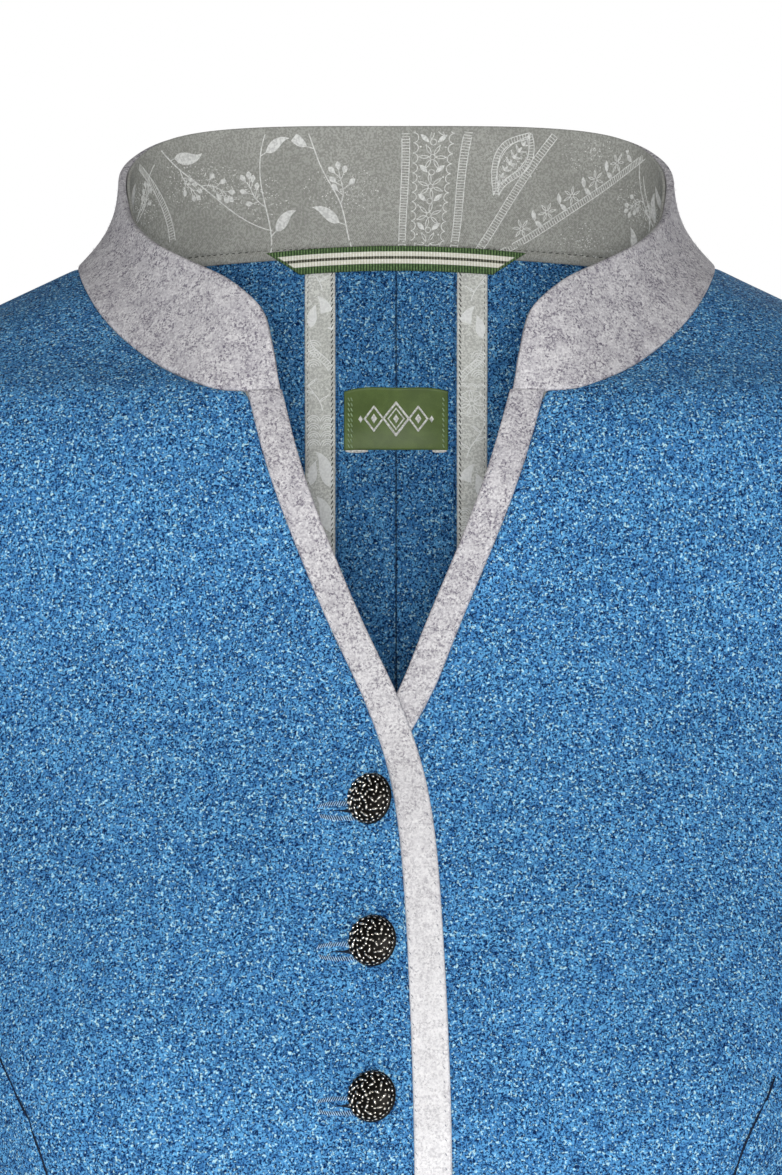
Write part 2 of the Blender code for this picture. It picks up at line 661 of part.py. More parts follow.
def button(number, height, front):
    """A domed metal button on a shank, held against the over front and turned as it hangs."""
    turn, across = (TOP_BUTTON_TURN, TOP_SHANK_ACROSS) if number == 1 else (BUTTON_TURN, SHANK_ACROSS)
    facing = Vector((-math.sin(turn) * math.cos(BUTTON_NOD), -math.cos(turn) * math.cos(BUTTON_NOD),
                     math.sin(BUTTON_NOD)))
    cloth_face, normal, _, _ = front.ray_cast(Vector((across, -1.0, height)), Vector((0.0, 1.0, 0.0)))
    tilt = facing.angle(normal)
    shank = (BUTTON_RADIUS * math.sin(tilt) + 2 * LAYER_GAP) / math.cos(tilt)
    profile = [(0.0, BUTTON_RIM + BUTTON_DOME)]
    for angle in (24, 46, 68, 90):
        bend = math.radians(angle)
        profile.append((BUTTON_RADIUS * math.sin(bend), BUTTON_RIM + BUTTON_DOME * math.cos(bend)))
    profile += [(BUTTON_RADIUS * 0.94, 0.0), (SHANK_RADIUS, 0.0), (SHANK_RADIUS, -shank), (0.0, -shank)]
    mesh = bpy.data.meshes.new(f"button_{number}")
    mesh.from_pydata([(x, 0.0, z) for x, z in profile], [(i, i + 1) for i in range(len(profile) - 1)], [])
    obj = add_object(f"button_{number}", mesh, "old_silver")
    screw = obj.modifiers.new("turned", "SCREW")
    screw.steps = screw.render_steps = BUTTON_SIDES
    screw.use_merge_vertices = True
    screw.merge_threshold = 0.00001
    obj.location = cloth_face + normal * (SHANK_RADIUS * math.sin(tilt) + LAYER_GAP) + facing * shank
    obj.rotation_mode = "QUATERNION"
    obj.rotation_quaternion = facing.to_track_quat("Z", "Y")


def main():
    for obj in list(bpy.data.objects):
        bpy.data.objects.remove(obj)
    bpy.context.scene.collection.children.link(bpy.data.collections.new("boiled_wool_jacket"))
    front_panels(side=-1, over=True)
    front_panels(side=1, over=False)
    back_panels(side=1)
    label(back_panels(side=-1))
    for side in (-1, 1):
        sleeve(side)
    hanger_loop(collar())
    over_front = surface_tree(bpy.data.objects["front_right"])
    for number, height in enumerate(BUTTON_HEIGHTS, start=1):
        button(number, height, over_front)


main()
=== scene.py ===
"""The looks of a boiled wool jacket with a felt stand collar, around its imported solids.

Metres, +Z up, the front faces -Y and +X is the wearer's left, as in the solids.
"""

import math
import random
from collections import namedtuple

import bmesh
import bpy
import numpy as np
from mathutils import Matrix, Vector, noise


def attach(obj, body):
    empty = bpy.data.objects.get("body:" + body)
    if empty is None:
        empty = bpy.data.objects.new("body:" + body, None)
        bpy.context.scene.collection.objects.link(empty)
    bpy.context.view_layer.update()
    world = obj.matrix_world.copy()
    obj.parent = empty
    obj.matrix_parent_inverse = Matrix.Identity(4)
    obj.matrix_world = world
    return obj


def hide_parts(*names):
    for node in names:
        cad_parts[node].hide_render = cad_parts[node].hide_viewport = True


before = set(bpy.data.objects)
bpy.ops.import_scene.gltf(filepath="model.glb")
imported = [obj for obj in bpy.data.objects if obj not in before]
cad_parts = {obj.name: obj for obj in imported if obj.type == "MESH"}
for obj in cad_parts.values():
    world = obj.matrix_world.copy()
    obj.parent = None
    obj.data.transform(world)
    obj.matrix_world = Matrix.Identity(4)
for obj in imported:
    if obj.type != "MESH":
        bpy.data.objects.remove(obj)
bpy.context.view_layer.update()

MM = 0.001
SIDES = ("right", "left")


# Camera, level with the collar's foot. At two metres the picture's height spans 0.3386 m

SENSOR_HEIGHT = 36.0
SPAN_DISTANCE, SPAN_HEIGHT = 2.0, 0.3386


def place_camera():
    lens = bpy.data.cameras.new("camera")
    lens.sensor_fit = "VERTICAL"
    lens.sensor_height = SENSOR_HEIGHT
    lens.lens = SENSOR_HEIGHT * SPAN_DISTANCE / SPAN_HEIGHT
    lens.clip_end = 60.0
    camera = bpy.data.objects.new("camera", lens)
    camera.location = (-0.0016, -2.1, -0.097)
    camera.rotation_euler = (math.radians(90), 0, 0)
    bpy.context.scene.collection.objects.link(camera)
    bpy.context.scene.camera = camera


# Cloth sheets read from the solids: each face of a cloth solid is a grid of points

def cloth_faces(work, limit):
    """The two largest smooth regions of a cloth solid, which are its outer and inner face."""
    sharp = {edge for edge in work.edges if edge.calc_face_angle(0.0) > limit}
    waiting, regions = set(work.faces), []
    while waiting:
        queue = [waiting.pop()]
        region = set(queue)
        while queue:
            for edge in queue.pop().edges:
                if edge not in sharp:
                    for face in edge.link_faces:
                        if face in waiting:
                            waiting.discard(face)
                            region.add(face)
                            queue.append(face)
        regions.append(region)
    return sorted(regions, key=len, reverse=True)[:2]


def rim_loop(members):
    """The rim of a face of the cloth, as vertices in order."""
    links = {}
    for vertex in sorted(members, key=lambda v: v.index):
        for edge in vertex.link_edges:
            far = edge.other_vert(vertex)
            if far in members:
                whole = [all(v in members for v in face.verts) for face in edge.link_faces]
                if whole.count(True) == 1:
                    links.setdefault(vertex, []).append(far)
    start = next(iter(links))
    loop = [start, links[start][0]]
    while True:
        ahead = [v for v in links[loop[-1]] if v is not loop[-2]][0]
        if ahead is start:
            return loop
        loop.append(ahead)


def corner_start(loop, rows, columns):
    """Where on the rim the grid's first corner lies, and whether its rows or its columns come first."""
    points = np.array([vertex.co for vertex in loop])
    before, after = points - np.roll(points, 1, axis=0), np.roll(points, -1, axis=0) - points
    before /= np.linalg.norm(before, axis=1, keepdims=True)
    after /= np.linalg.norm(after, axis=1, keepdims=True)
    turn = np.arccos(np.clip((before * after).sum(axis=1), -1, 1))
    best = None
    for across, up in ((columns, rows), (rows, columns)):
        for k in range(len(loop)):
            corners = [k, k + across - 1, k + across + up - 2, k + 2 * across + up - 3]
            total = sum(turn[c % len(loop)] for c in corners)
            if best is None or total > best[0] + 1e-9:
                best = (total, k, across, up)
    return best[1:]


def walked_grid(members):
    """The points of a face of the cloth as an array of rows and columns."""
    loop = rim_loop(members)
    both = len(loop) // 2 + 2
    root = round(math.sqrt(both * both - 4 * len(members)))
    start, across, up = corner_start(loop, (both + root) // 2, (both - root) // 2)
    loop = loop[start:] + loop[:start]
    side = [loop[0]] + loop[:-up:-1]
    row, rows, used = loop[:across], [], set()
    for i in range(up):
        rows.append(row)
        used.update(row)
        if i + 1 < up:
            ahead = [side[i + 1]]
            for j in range(1, across):
                near = {edge.other_vert(ahead[-1]) for edge in ahead[-1].link_edges}
                over = {edge.other_vert(row[j]) for edge in row[j].link_edges}
                fits = [v for v in near & over if v in members and v not in used and v not in ahead]
                ahead.append(fits[0])
            row = ahead
    return np.array([[vertex.co[:] for vertex in row] for row in rows])


def facing(grid, key):
    """The grid turned so that its rows go up and its columns go the way that the key grows."""
    if abs(grid[0, :, 2].mean() - grid[-1, :, 2].mean()) < abs(grid[:, 0, 2].mean() - grid[:, -1, 2].mean()):
        grid = grid.transpose(1, 0, 2)
    if grid[0, :, 2].mean() > grid[-1, :, 2].mean():
        grid = grid[::-1]
    if key(grid[:, 0]) > key(grid[:, -1]):
        grid = grid[:, ::-1]
    return grid


def outwards_from_centre(points):
    return np.abs(points[:, 0]).mean()


def rightwards(points):
    return points[:, 0].mean()


def backwards(points):
    return points[:, 1].mean()


def sheets_of(node, key, round_axis=None):
    """The outer and the inner points of a cloth solid, row by row from its lowest edge up."""
    work = bmesh.new()
    work.from_mesh(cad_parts[node].data)
    bmesh.ops.remove_doubles(work, verts=work.verts[:], dist=0.01 * MM)
    work.verts.index_update()
    work.normal_update()
    corners = [{v for face in region for v in face.verts} for region in cloth_faces(work, math.radians(50))]
    half = next(found for found in corners if 2 * len(found) == len(work.verts))
    groups = (half, {v for v in work.verts if v not in half})
    grids = [facing(walked_grid(group), key) for group in groups]
    work.free()
    if round_axis is None:
        reach = [np.linalg.norm(grid[..., :2], axis=-1).mean() for grid in grids]
    else:
        reach = [np.linalg.norm(grid - round_axis, axis=-1).mean() for grid in grids]
    return grids if reach[0] > reach[1] else grids[::-1]


# Smooth sheets through those points

def spline_weights(knots, at):
    """Weights that turn the values at the knots into those of a smooth line at the wanted places."""
    count, gaps = len(knots), np.diff(knots)
    system, source = np.eye(count), np.zeros((count, count))
    for i in range(1, count - 1):
        system[i, i - 1:i + 2] = gaps[i - 1], 2 * (gaps[i - 1] + gaps[i]), gaps[i]
        source[i, i - 1:i + 2] = 6 / gaps[i - 1], -6 / gaps[i - 1] - 6 / gaps[i], 6 / gaps[i]
    bend = np.linalg.solve(system, source)
    k = np.clip(np.searchsorted(knots, at) - 1, 0, count - 2)
    gap = gaps[k]
    after = (at - knots[k]) / gap
    before = 1 - after
    weights = np.zeros((len(at), count))
    rows = np.arange(len(at))
    weights[rows, k] += before
    weights[rows, k + 1] += after
    curve = (before ** 3 - before)[:, None] * bend[k] + (after ** 3 - after)[:, None] * bend[k + 1]
    return weights + curve * (gap ** 2)[:, None] / 6


def grid_knots(grid, axis):
    """How far along the cloth each row or column of the grid lies, on average."""
    steps = np.linalg.norm(np.diff(grid, axis=axis), axis=-1).mean(axis=1 - axis)
    return np.concatenate(([0.0], np.cumsum(steps)))


def corners_in(line):
    """The places where a line of points turns sharply."""
    steps = np.diff(line, axis=0)
    steps /= np.linalg.norm(steps, axis=1, keepdims=True)
    turns = np.arccos(np.clip((steps[1:] * steps[:-1]).sum(axis=1), -1, 1))
    return [i + 1 for i, turn in enumerate(turns) if turn > math.radians(24)]


def cornered_weights(knots, at, corners):
    """Spline weights that run straight through no corner: each stretch is smooth on its own."""
    weights = np.zeros((len(at), len(knots)))
    ends = [0, *corners, len(knots) - 1]
    for first, last in zip(ends, ends[1:]):
        low, high = (knots[first] if first else -np.inf), (knots[last] if last < ends[-1] else np.inf)
        here = (at >= low) & (at < high)
        weights[np.ix_(here, range(first, last + 1))] = spline_weights(knots[first:last + 1], at[here])
    return weights


class Sheet:
    """A cloth solid's two faces as smooth functions of the distance up and across it."""

    def __init__(self, node, key, round_axis=None, faces=None):
        self.outer, self.inner = faces or sheets_of(node, key, round_axis)
        self.up, self.across = grid_knots(self.outer, 0), grid_knots(self.outer, 1)

    def at(self, up, across):
        up_weights, across_weights = spline_weights(self.up, up), spline_weights(self.across, across)
        faces = []
        for face in (self.outer, self.inner):
            lines = np.einsum("ir,rcx->icx", up_weights, face)
            for column in (0, -1):
                corners = corners_in(self.outer[:, column])
                if corners:
                    lines[:, column] = cornered_weights(self.up, up, corners) @ face[:, column]
            faces.append(np.einsum("icx,jc->ijx", lines, across_weights))
        return faces

    def points(self, up, across):
        """A point of each face for each pair of distances, on its smooth shape."""
        weights = spline_weights(self.up, up), spline_weights(self.across, across)
        return [np.einsum("nr,rcx,nc->nx", weights[0], face, weights[1]) for face in (self.outer, self.inner)]

    def on_face(self, up, across, inside=True, proud=0.0):
        """Points on one face of the finished cloth, each with its side, upward and outward direction."""
        up, across = np.atleast_1d(up).astype(float), np.atleast_1d(across).astype(float)
        found = []
        for step_up, step_across in ((0, 0), (0.5 * MM, 0), (0, 0.5 * MM)):
            found.append(self.points(up + step_up, across + step_across))
        outer, inner = found[0]
        normal = (outer - inner) / np.linalg.norm(outer - inner, axis=1, keepdims=True)
        rise = lie(outer[None])[0][:, None]
        point = (inner if inside else outer) + normal * rise + normal * (-proud if inside else proud)
        face = 1 if inside else 0
        upward, sideways = found[1][face] - found[0][face], found[2][face] - found[0][face]
        upward /= np.linalg.norm(upward, axis=1, keepdims=True)
        sideways /= np.linalg.norm(sideways, axis=1, keepdims=True)
        return point, sideways, upward, -normal if inside else normal

    def find(self, x, z, inside=False):
        """How far up and across the cloth the points with that x and z lie."""
        face = self.inner if inside else self.outer
        x, z = (np.array(axis, float) for axis in np.broadcast_arrays(np.atleast_1d(x), z))
        near = np.array([np.argmin(np.hypot(face[..., 0] - a, face[..., 2] - b)) for a, b in zip(x, z)])
        up, across = self.up[near // face.shape[1]], self.across[near % face.shape[1]]
        for _ in range(5):
            here, sideways, upward, _ = self.on_face(up, across, inside)
            miss_x, miss_z = x - here[:, 0], z - here[:, 2]
            area = sideways[:, 0] * upward[:, 2] - upward[:, 0] * sideways[:, 2]
            across = across + (miss_x * upward[:, 2] - miss_z * upward[:, 0]) / area
            up = up + (miss_z * sideways[:, 0] - miss_x * sideways[:, 2]) / area
        return up, across


# How far in from the solids' edge the princess seam runs, by height in millimetres
SEAM_SHIFT = ((-610, 10), (-500, 15), (-410, 20), (-320, 23), (-266, 21.3), (-252, 19.7),
              (-242, 16.9), (-231, 13.4))
SEAM_SHARE = {"right": 0.78, "left": 1.0}


def move_seam(front, beyond, share):
    """Moves the princess seam in, as in the photograph: the front gives way and its neighbour follows."""
    top = beyond.outer[-1, 0, 2]
    levels, wide = (np.array(values) for values in zip(*SEAM_SHIFT, (top / MM - 4, 1.0), (top / MM, 0.0)))

    def shift(height):
        inward = spline_weights(levels * MM, np.clip(height, -0.61, top)) @ wide * share * MM
        return np.where(height < top, np.clip(inward, 0, None), 0.0)

    fine = np.linspace(0, front.up[-1], 900)
    edge_heights = front.at(fine, front.across[[-1]])[0][:, 0, 2]
    rows, spread = np.linspace(0, beyond.up[-1], 40), np.linspace(0, 1, 13)
    edge = [face[:, 0] for face in beyond.at(rows, beyond.across[[0]])]
    inward = shift(edge[0][:, 2])
    up, last = np.interp(edge[0][:, 2], edge_heights, fine), front.across[-1]
    own = front.points(up, np.full(len(up), last))
    grids = [np.zeros((len(rows), len(spread), 3)) for _ in range(2)]
    for j, part in enumerate(spread):
        run = part * (inward + beyond.across[-1]) - inward
        ahead = front.points(up, last + np.minimum(run, 0))
        own_row = np.arange(len(rows))
        behind = [face[own_row, own_row] for face in beyond.at(rows, np.maximum(run, 0))]
        for grid, start, seam, near, far in zip(grids, own, edge, ahead, behind):
            grid[:, j] = np.where((run < 0)[:, None], near - start + seam, far)
    width = last - shift(front.outer[:, -1, 2])
    held = [face.copy() for face in (front.outer, front.inner)]
    for j in range(len(front.across)):
        across = width * front.across[j] / last
        for face, found in zip(held, front.points(front.up, across)):
            face[:, j] = found
    return Sheet(None, None, faces=held), Sheet(None, None, faces=grids)


# Edges of the cloth: how round they are, and how far a sewn edge sinks into its seam

Rim = namedtuple("Rim", "radius sink width reach")
SEWN = Rim(0.90 * MM, 0.42 * MM, 2.0 * MM, 0.08 * MM)
TUCKED = Rim(0.90 * MM, 0.34 * MM, 1.7 * MM, 0.30 * MM)
LOOSE = Rim(0.98 * MM, 0.0, 1.0 * MM, 0.0)
FELT_EDGE = Rim(1.10 * MM, 0.0, 1.0 * MM, 0.0)
FELT_RIM = Rim(0.80 * MM, 0.0, 1.0 * MM, 0.0)
FELT_SEAM = Rim(0.85 * MM, 0.08 * MM, 1.2 * MM, 0.60 * MM)
THIN_EDGE = Rim(0.45 * MM, 0.0, 1.0 * MM, 0.0)
LINING_TOP = Rim(0.45 * MM, 0.0, 1.0 * MM, 0.75 * MM)
LINING_STEPS = np.array((0.0, 0.22, 0.5, 0.9, 1.4, 1.9, 2.3, 2.6, 2.9, 3.2, 3.5, 3.8, 4.2, 4.7, 5.4)) * MM
RIM_STEPS = np.array((0.0, 0.22, 0.5, 0.85, 1.35, 2.1, 3.2)) * MM


def stations(length, spacing, first, last, steps=RIM_STEPS):
    """Places across a cloth, close together at its edges."""
    low, high = -first.reach, length + last.reach
    steps = steps * min(1.0, 0.42 * (high - low) / steps[-1])
    count = max(round((high - low - 2 * steps[-1]) / spacing), 1)
    middle = np.linspace(low + steps[-1], high - steps[-1], count + 1)
    return np.concatenate((low + steps[:-1], middle, (high - steps[:-1])[::-1]))


def distances(points, axis):
    """How far each point lies from the first and from the last edge along an axis."""
    steps = np.linalg.norm(np.diff(points, axis=axis), axis=-1)
    start = np.zeros_like(steps.take([0], axis=axis))
    run = np.concatenate((start, np.cumsum(steps, axis=axis)), axis=axis)
    return run, run.take([-1], axis=axis) - run


def sunk(distance, rim):
    """How far the face lies below its full height at a distance from an edge."""
    near = np.clip(rim.radius - distance, 0, rim.radius)
    return rim.radius - np.sqrt(rim.radius ** 2 - near ** 2) + rim.sink * np.exp(-(distance / rim.width) ** 2)


# The soft lie of the cloth: creases and swells listed one by one, and a slow unevenness

Crease = namedtuple("Crease", "face start end width rise")
FRONT_FOLDS = (
    ((232, -398), (294, -419), 7.0, -1.7), ((240, -434), (314, -428), 8.0, -1.4),
    ((226, -371), (266, -383), 6.0, -1.0), ((262, -455), (319, -448), 7.0, -1.1),
    ((-230, -403), (-288, -424), 7.5, -1.5), ((-238, -440), (-311, -437), 7.0, -1.6),
    ((-228, -378), (-270, -386), 6.0, -0.9), ((-266, -463), (-318, -452), 7.5, -1.0),
    ((205, -216), (240, -266), 9.0, -1.3), ((-203, -222), (-236, -277), 9.0, -1.2),
    ((186, -142), (180, -214), 9.0, -1.0), ((-187, -150), (-181, -220), 8.5, -1.1),
    ((284, -562), (328, -550), 6.0, -0.8), ((-281, -549), (-324, -561), 6.5, -0.9),
    ((168, -224), (122, -268), 8.0, -1.0), ((-169, -221), (-126, -260), 8.5, -0.9),
    ((161, -248), (130, -304), 9.0, -0.8), ((-160, -252), (-127, -311), 8.0, -0.9),
    ((150, -398), (108, -411), 7.0, -1.0), ((-148, -394), (-110, -404), 7.5, -0.9),
    ((147, -426), (101, -421), 8.0, -0.9), ((-146, -421), (-97, -425), 7.5, -1.0),
    ((112, -468), (121, -566), 13.0, -1.1), ((-108, -476), (-124, -571), 12.0, -1.0),
    ((47, -452), (38, -540), 14.0, -0.7), ((-52, -441), (-45, -530), 13.0, -0.8),
    ((124, -238), (108, -286), 9.0, -1.5), ((-121, -244), (-107, -290), 9.0, -1.4),
    ((103, -233), (111, -242), 3.2, -0.7), ((-104, -246), (-112, -251), 3.4, -0.5),
)
BACK_FOLDS = (
    ((150, -122), (170, -216), 9.0, -1.1), ((-148, -130), (-169, -219), 9.5, -1.0),
    ((162, -240), (118, -280), 9.0, -0.9), ((-160, -236), (-114, -270), 8.5, -1.0),
    ((141, -396), (84, -404), 7.5, -1.1), ((-138, -399), (-80, -402), 7.0, -1.0),
    ((132, -421), (70, -427), 8.0, -1.0), ((-135, -424), (-74, -433), 8.5, -1.1),
    ((30, -388), (66, -379), 7.0, -0.7), ((-34, -391), (-70, -385), 7.0, -0.8),
    ((96, -470), (112, -570), 13.0, -1.1), ((-92, -464), (-110, -562), 12.5, -1.2),
    ((34, -462), (42, -560), 13.0, -0.8), ((-36, -470), (-40, -566), 13.0, -0.8),
    ((236, -408), (300, -428), 9.0, -0.9), ((-238, -414), (-302, -430), 9.0, -0.8),
    ((196, -176), (222, -252), 10.0, -1.0), ((-197, -184), (-224, -258), 9.5, -1.1),
)
CREASES = [Crease(face, *fold)
           for face, folds in (("front", FRONT_FOLDS), ("back", BACK_FOLDS)) for fold in folds]


FOLD_DEPTH = 1.7 * MM


def lie(points):
    """How far the cloth stands out from its smooth shape at each point, in metres."""
    flat = points.reshape(-1, 3)
    rise = np.zeros(len(flat))
    middle = np.where(np.abs(flat[:, 0]) < 0.2, 0.0, np.interp(flat[:, 2], (-0.61, -0.245), (-0.048, -0.001)))
    depth = (flat[:, 1] - middle) / 0.02
    ahead = {"front": np.clip(-depth, 0, 1), "back": np.clip(depth, 0, 1)}
    for crease in CREASES:
        start, run = np.array(crease.start) * MM, np.subtract(crease.end, crease.start) * MM
        length = np.hypot(*run)
        away = flat[:, (0, 2)] - start
        along = away @ run / length ** 2
        beside = (away[:, 0] * run[1] - away[:, 1] * run[0]) / length / (crease.width * MM)
        taper = np.exp(-(np.clip(np.abs(along - 0.5) - 0.25, 0, None) / 0.22) ** 2)
        fold = np.exp(-beside ** 2) - 0.40 * np.exp(-(beside - 1.7) ** 2)
        fold -= 0.25 * np.exp(-(beside + 1.8) ** 2)
        rise += crease.rise * FOLD_DEPTH * taper * fold * ahead[crease.face]
    for i, point in enumerate(flat * 9.0):
        rise[i] += 0.55 * MM * noise.noise(Vector(point)) + 0.30 * MM * noise.noise(Vector(point) * 3.1)
    return rise.reshape(points.shape[:-1])


# Meshes

def smooth_mesh(name, mesh, material):
    """An object for a finished mesh, which rides on the one body."""
    mesh.shade_smooth()
    mesh.materials.append(material)
    obj = bpy.data.objects.new(name, mesh)
    bpy.context.scene.collection.objects.link(obj)
    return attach(obj, "root")


def cloth_mesh(name, outer, inner, across=None, up=None):
    """A closed wall of cloth between two grids of points, with its run across and up as a UV map."""
    rows, columns = outer.shape[0] - 1, outer.shape[1] - 1
    work = bmesh.new()
    bmesh.ops.create_grid(work, x_segments=columns, y_segments=rows, size=0.5)
    copies = bmesh.ops.extrude_face_region(work, geom=work.faces[:])["geom"]
    bmesh.ops.translate(work, vec=(0, 0, 1), verts=[v for v in copies if isinstance(v, bmesh.types.BMVert)])
    if across is None:
        across, up = distances(outer, 1)[0], distances(outer, 0)[0]
    uv = work.loops.layers.uv.new("cloth_run")
    for vertex in work.verts:
        i, j = round((vertex.co.y + 0.5) * rows), round((vertex.co.x + 0.5) * columns)
        vertex.co = Vector((inner if vertex.co.z > 0.5 else outer)[i, j])
        for loop in vertex.link_loops:
            loop[uv].uv = (across[i, j], up[i, j])
    bmesh.ops.recalc_face_normals(work, faces=work.faces[:])
    if work.calc_volume(signed=True) < 0:
        bmesh.ops.reverse_faces(work, faces=work.faces[:])
    mesh = bpy.data.meshes.new(name)
    work.to_mesh(mesh)
    work.free()
    return mesh


Panel = namedtuple("Panel", "node cloth slot left right bottom top spacing flat area")


def shell(panel, material, sheet, steps=RIM_STEPS, relief=None, close=None):
    """A panel of cloth with round edges, sunk seams and its soft lie.

    A relief takes the distances from the left and from the lowest edge. It says how far the cloth bends
    inwards, how much its inner face rises and how far it slides up. Close is a closer spacing across.
    """
    up = stations(sheet.up[-1], panel.spacing, panel.bottom, panel.top, steps)
    across = stations(sheet.across[-1], close or panel.spacing, panel.left, panel.right, steps)
    outer, inner = sheet.at(up, across)
    normal = outer - inner
    normal /= np.linalg.norm(normal, axis=-1, keepdims=True)
    left, right = distances(outer, 1)
    bottom, top = distances(outer, 0)
    sink = np.zeros(outer.shape[:2])
    for distance, rim in ((left, panel.left), (right, panel.right), (bottom, panel.bottom), (top, panel.top)):
        sink = np.maximum(sink, sunk(distance, rim))
    rise = lie(outer)
    bend, swell, slide = relief(left, bottom) if relief else (0.0, 0.0, 0.0)
    outer = outer + normal * (rise - sink - bend)[..., None]
    inner = inner + normal * (rise + sink - bend - swell)[..., None]
    outer[..., 2] += slide
    inner[..., 2] += slide
    obj = smooth_mesh(panel.cloth, cloth_mesh(panel.cloth, outer, inner), material)
    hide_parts(panel.node)
    return obj


# Thin raised lines: print, thread and stitches

class Lines:
    """Print, thread and stitches: many short ribbons gathered into one mesh."""

    ribbons = {}

    def __init__(self):
        self.points, self.faces, self.count = [], [], 0

    def ribbon(self, stations):
        """The faces of a four-sided ribbon with that many stations, its points ordered station by station."""
        if stations not in self.ribbons:
            work = bmesh.new()
            bmesh.ops.create_cube(work, size=2.0)
            upright = [edge for edge in work.edges if abs(edge.verts[0].co.z - edge.verts[1].co.z) > 1.0]
            if stations > 2:
                bmesh.ops.subdivide_edges(work, edges=upright, cuts=stations - 2)
            sides = [(1, 1), (-1, 1), (-1, -1), (1, -1)]
            order = {vertex: round((vertex.co.z + 1) / 2 * (stations - 1)) * 4
                     + sides.index((round(vertex.co.x), round(vertex.co.y))) for vertex in work.verts}
            self.ribbons[stations] = [[order[v] for v in face.verts] for face in work.faces]
            work.free()
        return self.ribbons[stations]

    def add(self, points, outward, widths, height, depth, crown=1.0):
        """A ribbon from that depth below the points to that height above. A thread has a low crown."""
        points, outward = np.asarray(points, float), np.asarray(outward, float)
        along = np.gradient(points, axis=0)
        along /= np.linalg.norm(along, axis=1, keepdims=True)
        side = np.cross(along, outward)
        half = np.broadcast_to(widths, len(points))[:, None] / 2
        side *= half / np.linalg.norm(side, axis=1, keepdims=True)
        top, foot = points + outward * height, points - outward * depth
        ring = (top + side * crown, top - side * crown, foot - side, foot + side)
        self.points.append(np.stack(ring, axis=1).reshape(-1, 3))
        self.faces += [[corner + self.count for corner in face] for face in self.ribbon(len(points))]
        self.count += 4 * len(points)

    def finish(self, name, material, slot, smooth=True):
        mesh = bpy.data.meshes.new(name)
        mesh.from_pydata(np.concatenate(self.points).tolist(), [], self.faces)
        work = bmesh.new()
        work.from_mesh(mesh)
        bmesh.ops.recalc_face_normals(work, faces=work.faces[:])
        work.to_mesh(mesh)
        work.free()
        obj = smooth_mesh(name, mesh, material)
        if not smooth:
            mesh.shade_flat()
        return obj


# Materials. Colours are linear; every pattern runs in metres, on the cloth itself

class Finish:
    """A material with its plain numbers on the shader, and short calls for the rest of its nodes."""

    def __init__(self, name, colour, roughness, metallic=0.0, sheen=0.0, gloss=0.5):
        self.material = bpy.data.materials.new(name)
        self.material.use_nodes = True
        self.material.diffuse_color = (*colour, 1.0)
        self.tree = self.material.node_tree
        self.shader = self.tree.nodes["Principled BSDF"]
        self.set("Base Color", (*colour, 1.0))
        self.set("Roughness", roughness)
        self.set("Metallic", metallic)
        self.set("Sheen Weight", sheen)
        self.set("Specular IOR Level", gloss)
        self.place = self.add("ShaderNodeTexCoord").outputs["Object"]

    def set(self, socket, value):
        if isinstance(value, bpy.types.NodeSocket):
            self.tree.links.new(value, self.shader.inputs[socket])
        else:
            self.shader.inputs[socket].default_value = value

    def add(self, kind, sockets=(), **settings):
        node = self.tree.nodes.new(kind)
        for name, value in settings.items():
            setattr(node, name, value)
        for name, value in dict(sockets).items():
            if isinstance(value, bpy.types.NodeSocket):
                self.tree.links.new(value, node.inputs[name])
            else:
                node.inputs[name].default_value = value
        return node

    def run(self):
        """Where a point lies across and up the cloth, in metres."""
        return self.add("ShaderNodeUVMap", uv_map="cloth_run").outputs["UV"]

    def moved(self, offset, turn=(0, 0, 0), scale=(1, 1, 1), place=None):
        sockets = {"Vector": place or self.place, "Location": offset, "Rotation": turn, "Scale": scale}
        return self.add("ShaderNodeMapping", sockets).outputs["Vector"]

    def noise(self, scale, detail=2.0, roughness=0.5, distortion=0.0, offset=(0, 0, 0), place=None):
        sockets = {"Vector": self.moved(offset, place=place), "Scale": scale, "Detail": detail,
                   "Roughness": roughness, "Distortion": distortion}
        return self.add("ShaderNodeTexNoise", sockets).outputs["Fac"]

    def math(self, operation, first, second=0.0, third=0.0):
        node = self.add("ShaderNodeMath", operation=operation)
        for socket, value in zip(node.inputs, (first, second, third)):
            if isinstance(value, bpy.types.NodeSocket):
                self.tree.links.new(value, socket)
            else:
                socket.default_value = value
        return node.outputs["Value"]

    def between(self, value, low, high, bottom=0.0, top=1.0):
        """A smooth step of the value from low to high."""
        sockets = {"Value": value, "From Min": low, "From Max": high, "To Min": bottom, "To Max": top}
        return self.add("ShaderNodeMapRange", sockets, interpolation_type="SMOOTHSTEP").outputs["Result"]

    def lines(self, scale, width, **shape):
        """Thin curly lines, where a noise passes through its middle value."""
        middle = self.math("ABSOLUTE", self.math("SUBTRACT", self.noise(scale, **shape), 0.5))
        return self.between(middle, 0.0, width, 1.0, 0.0)

    def mixed(self, share, first, second):
        node = self.add("ShaderNodeMix", data_type="RGBA")
        for socket, value in zip((node.inputs[0], node.inputs[6], node.inputs[7]), (share, first, second)):
            if isinstance(value, bpy.types.NodeSocket):
                self.tree.links.new(value, socket)
            else:
                socket.default_value = value if isinstance(value, float) else (*value, 1.0)
        return node.outputs[2]

    def bump(self, height, distance, strength=1.0):
        sockets = {"Height": height, "Distance": distance, "Strength": strength}
        self.set("Normal", self.add("ShaderNodeBump", sockets).outputs["Normal"])


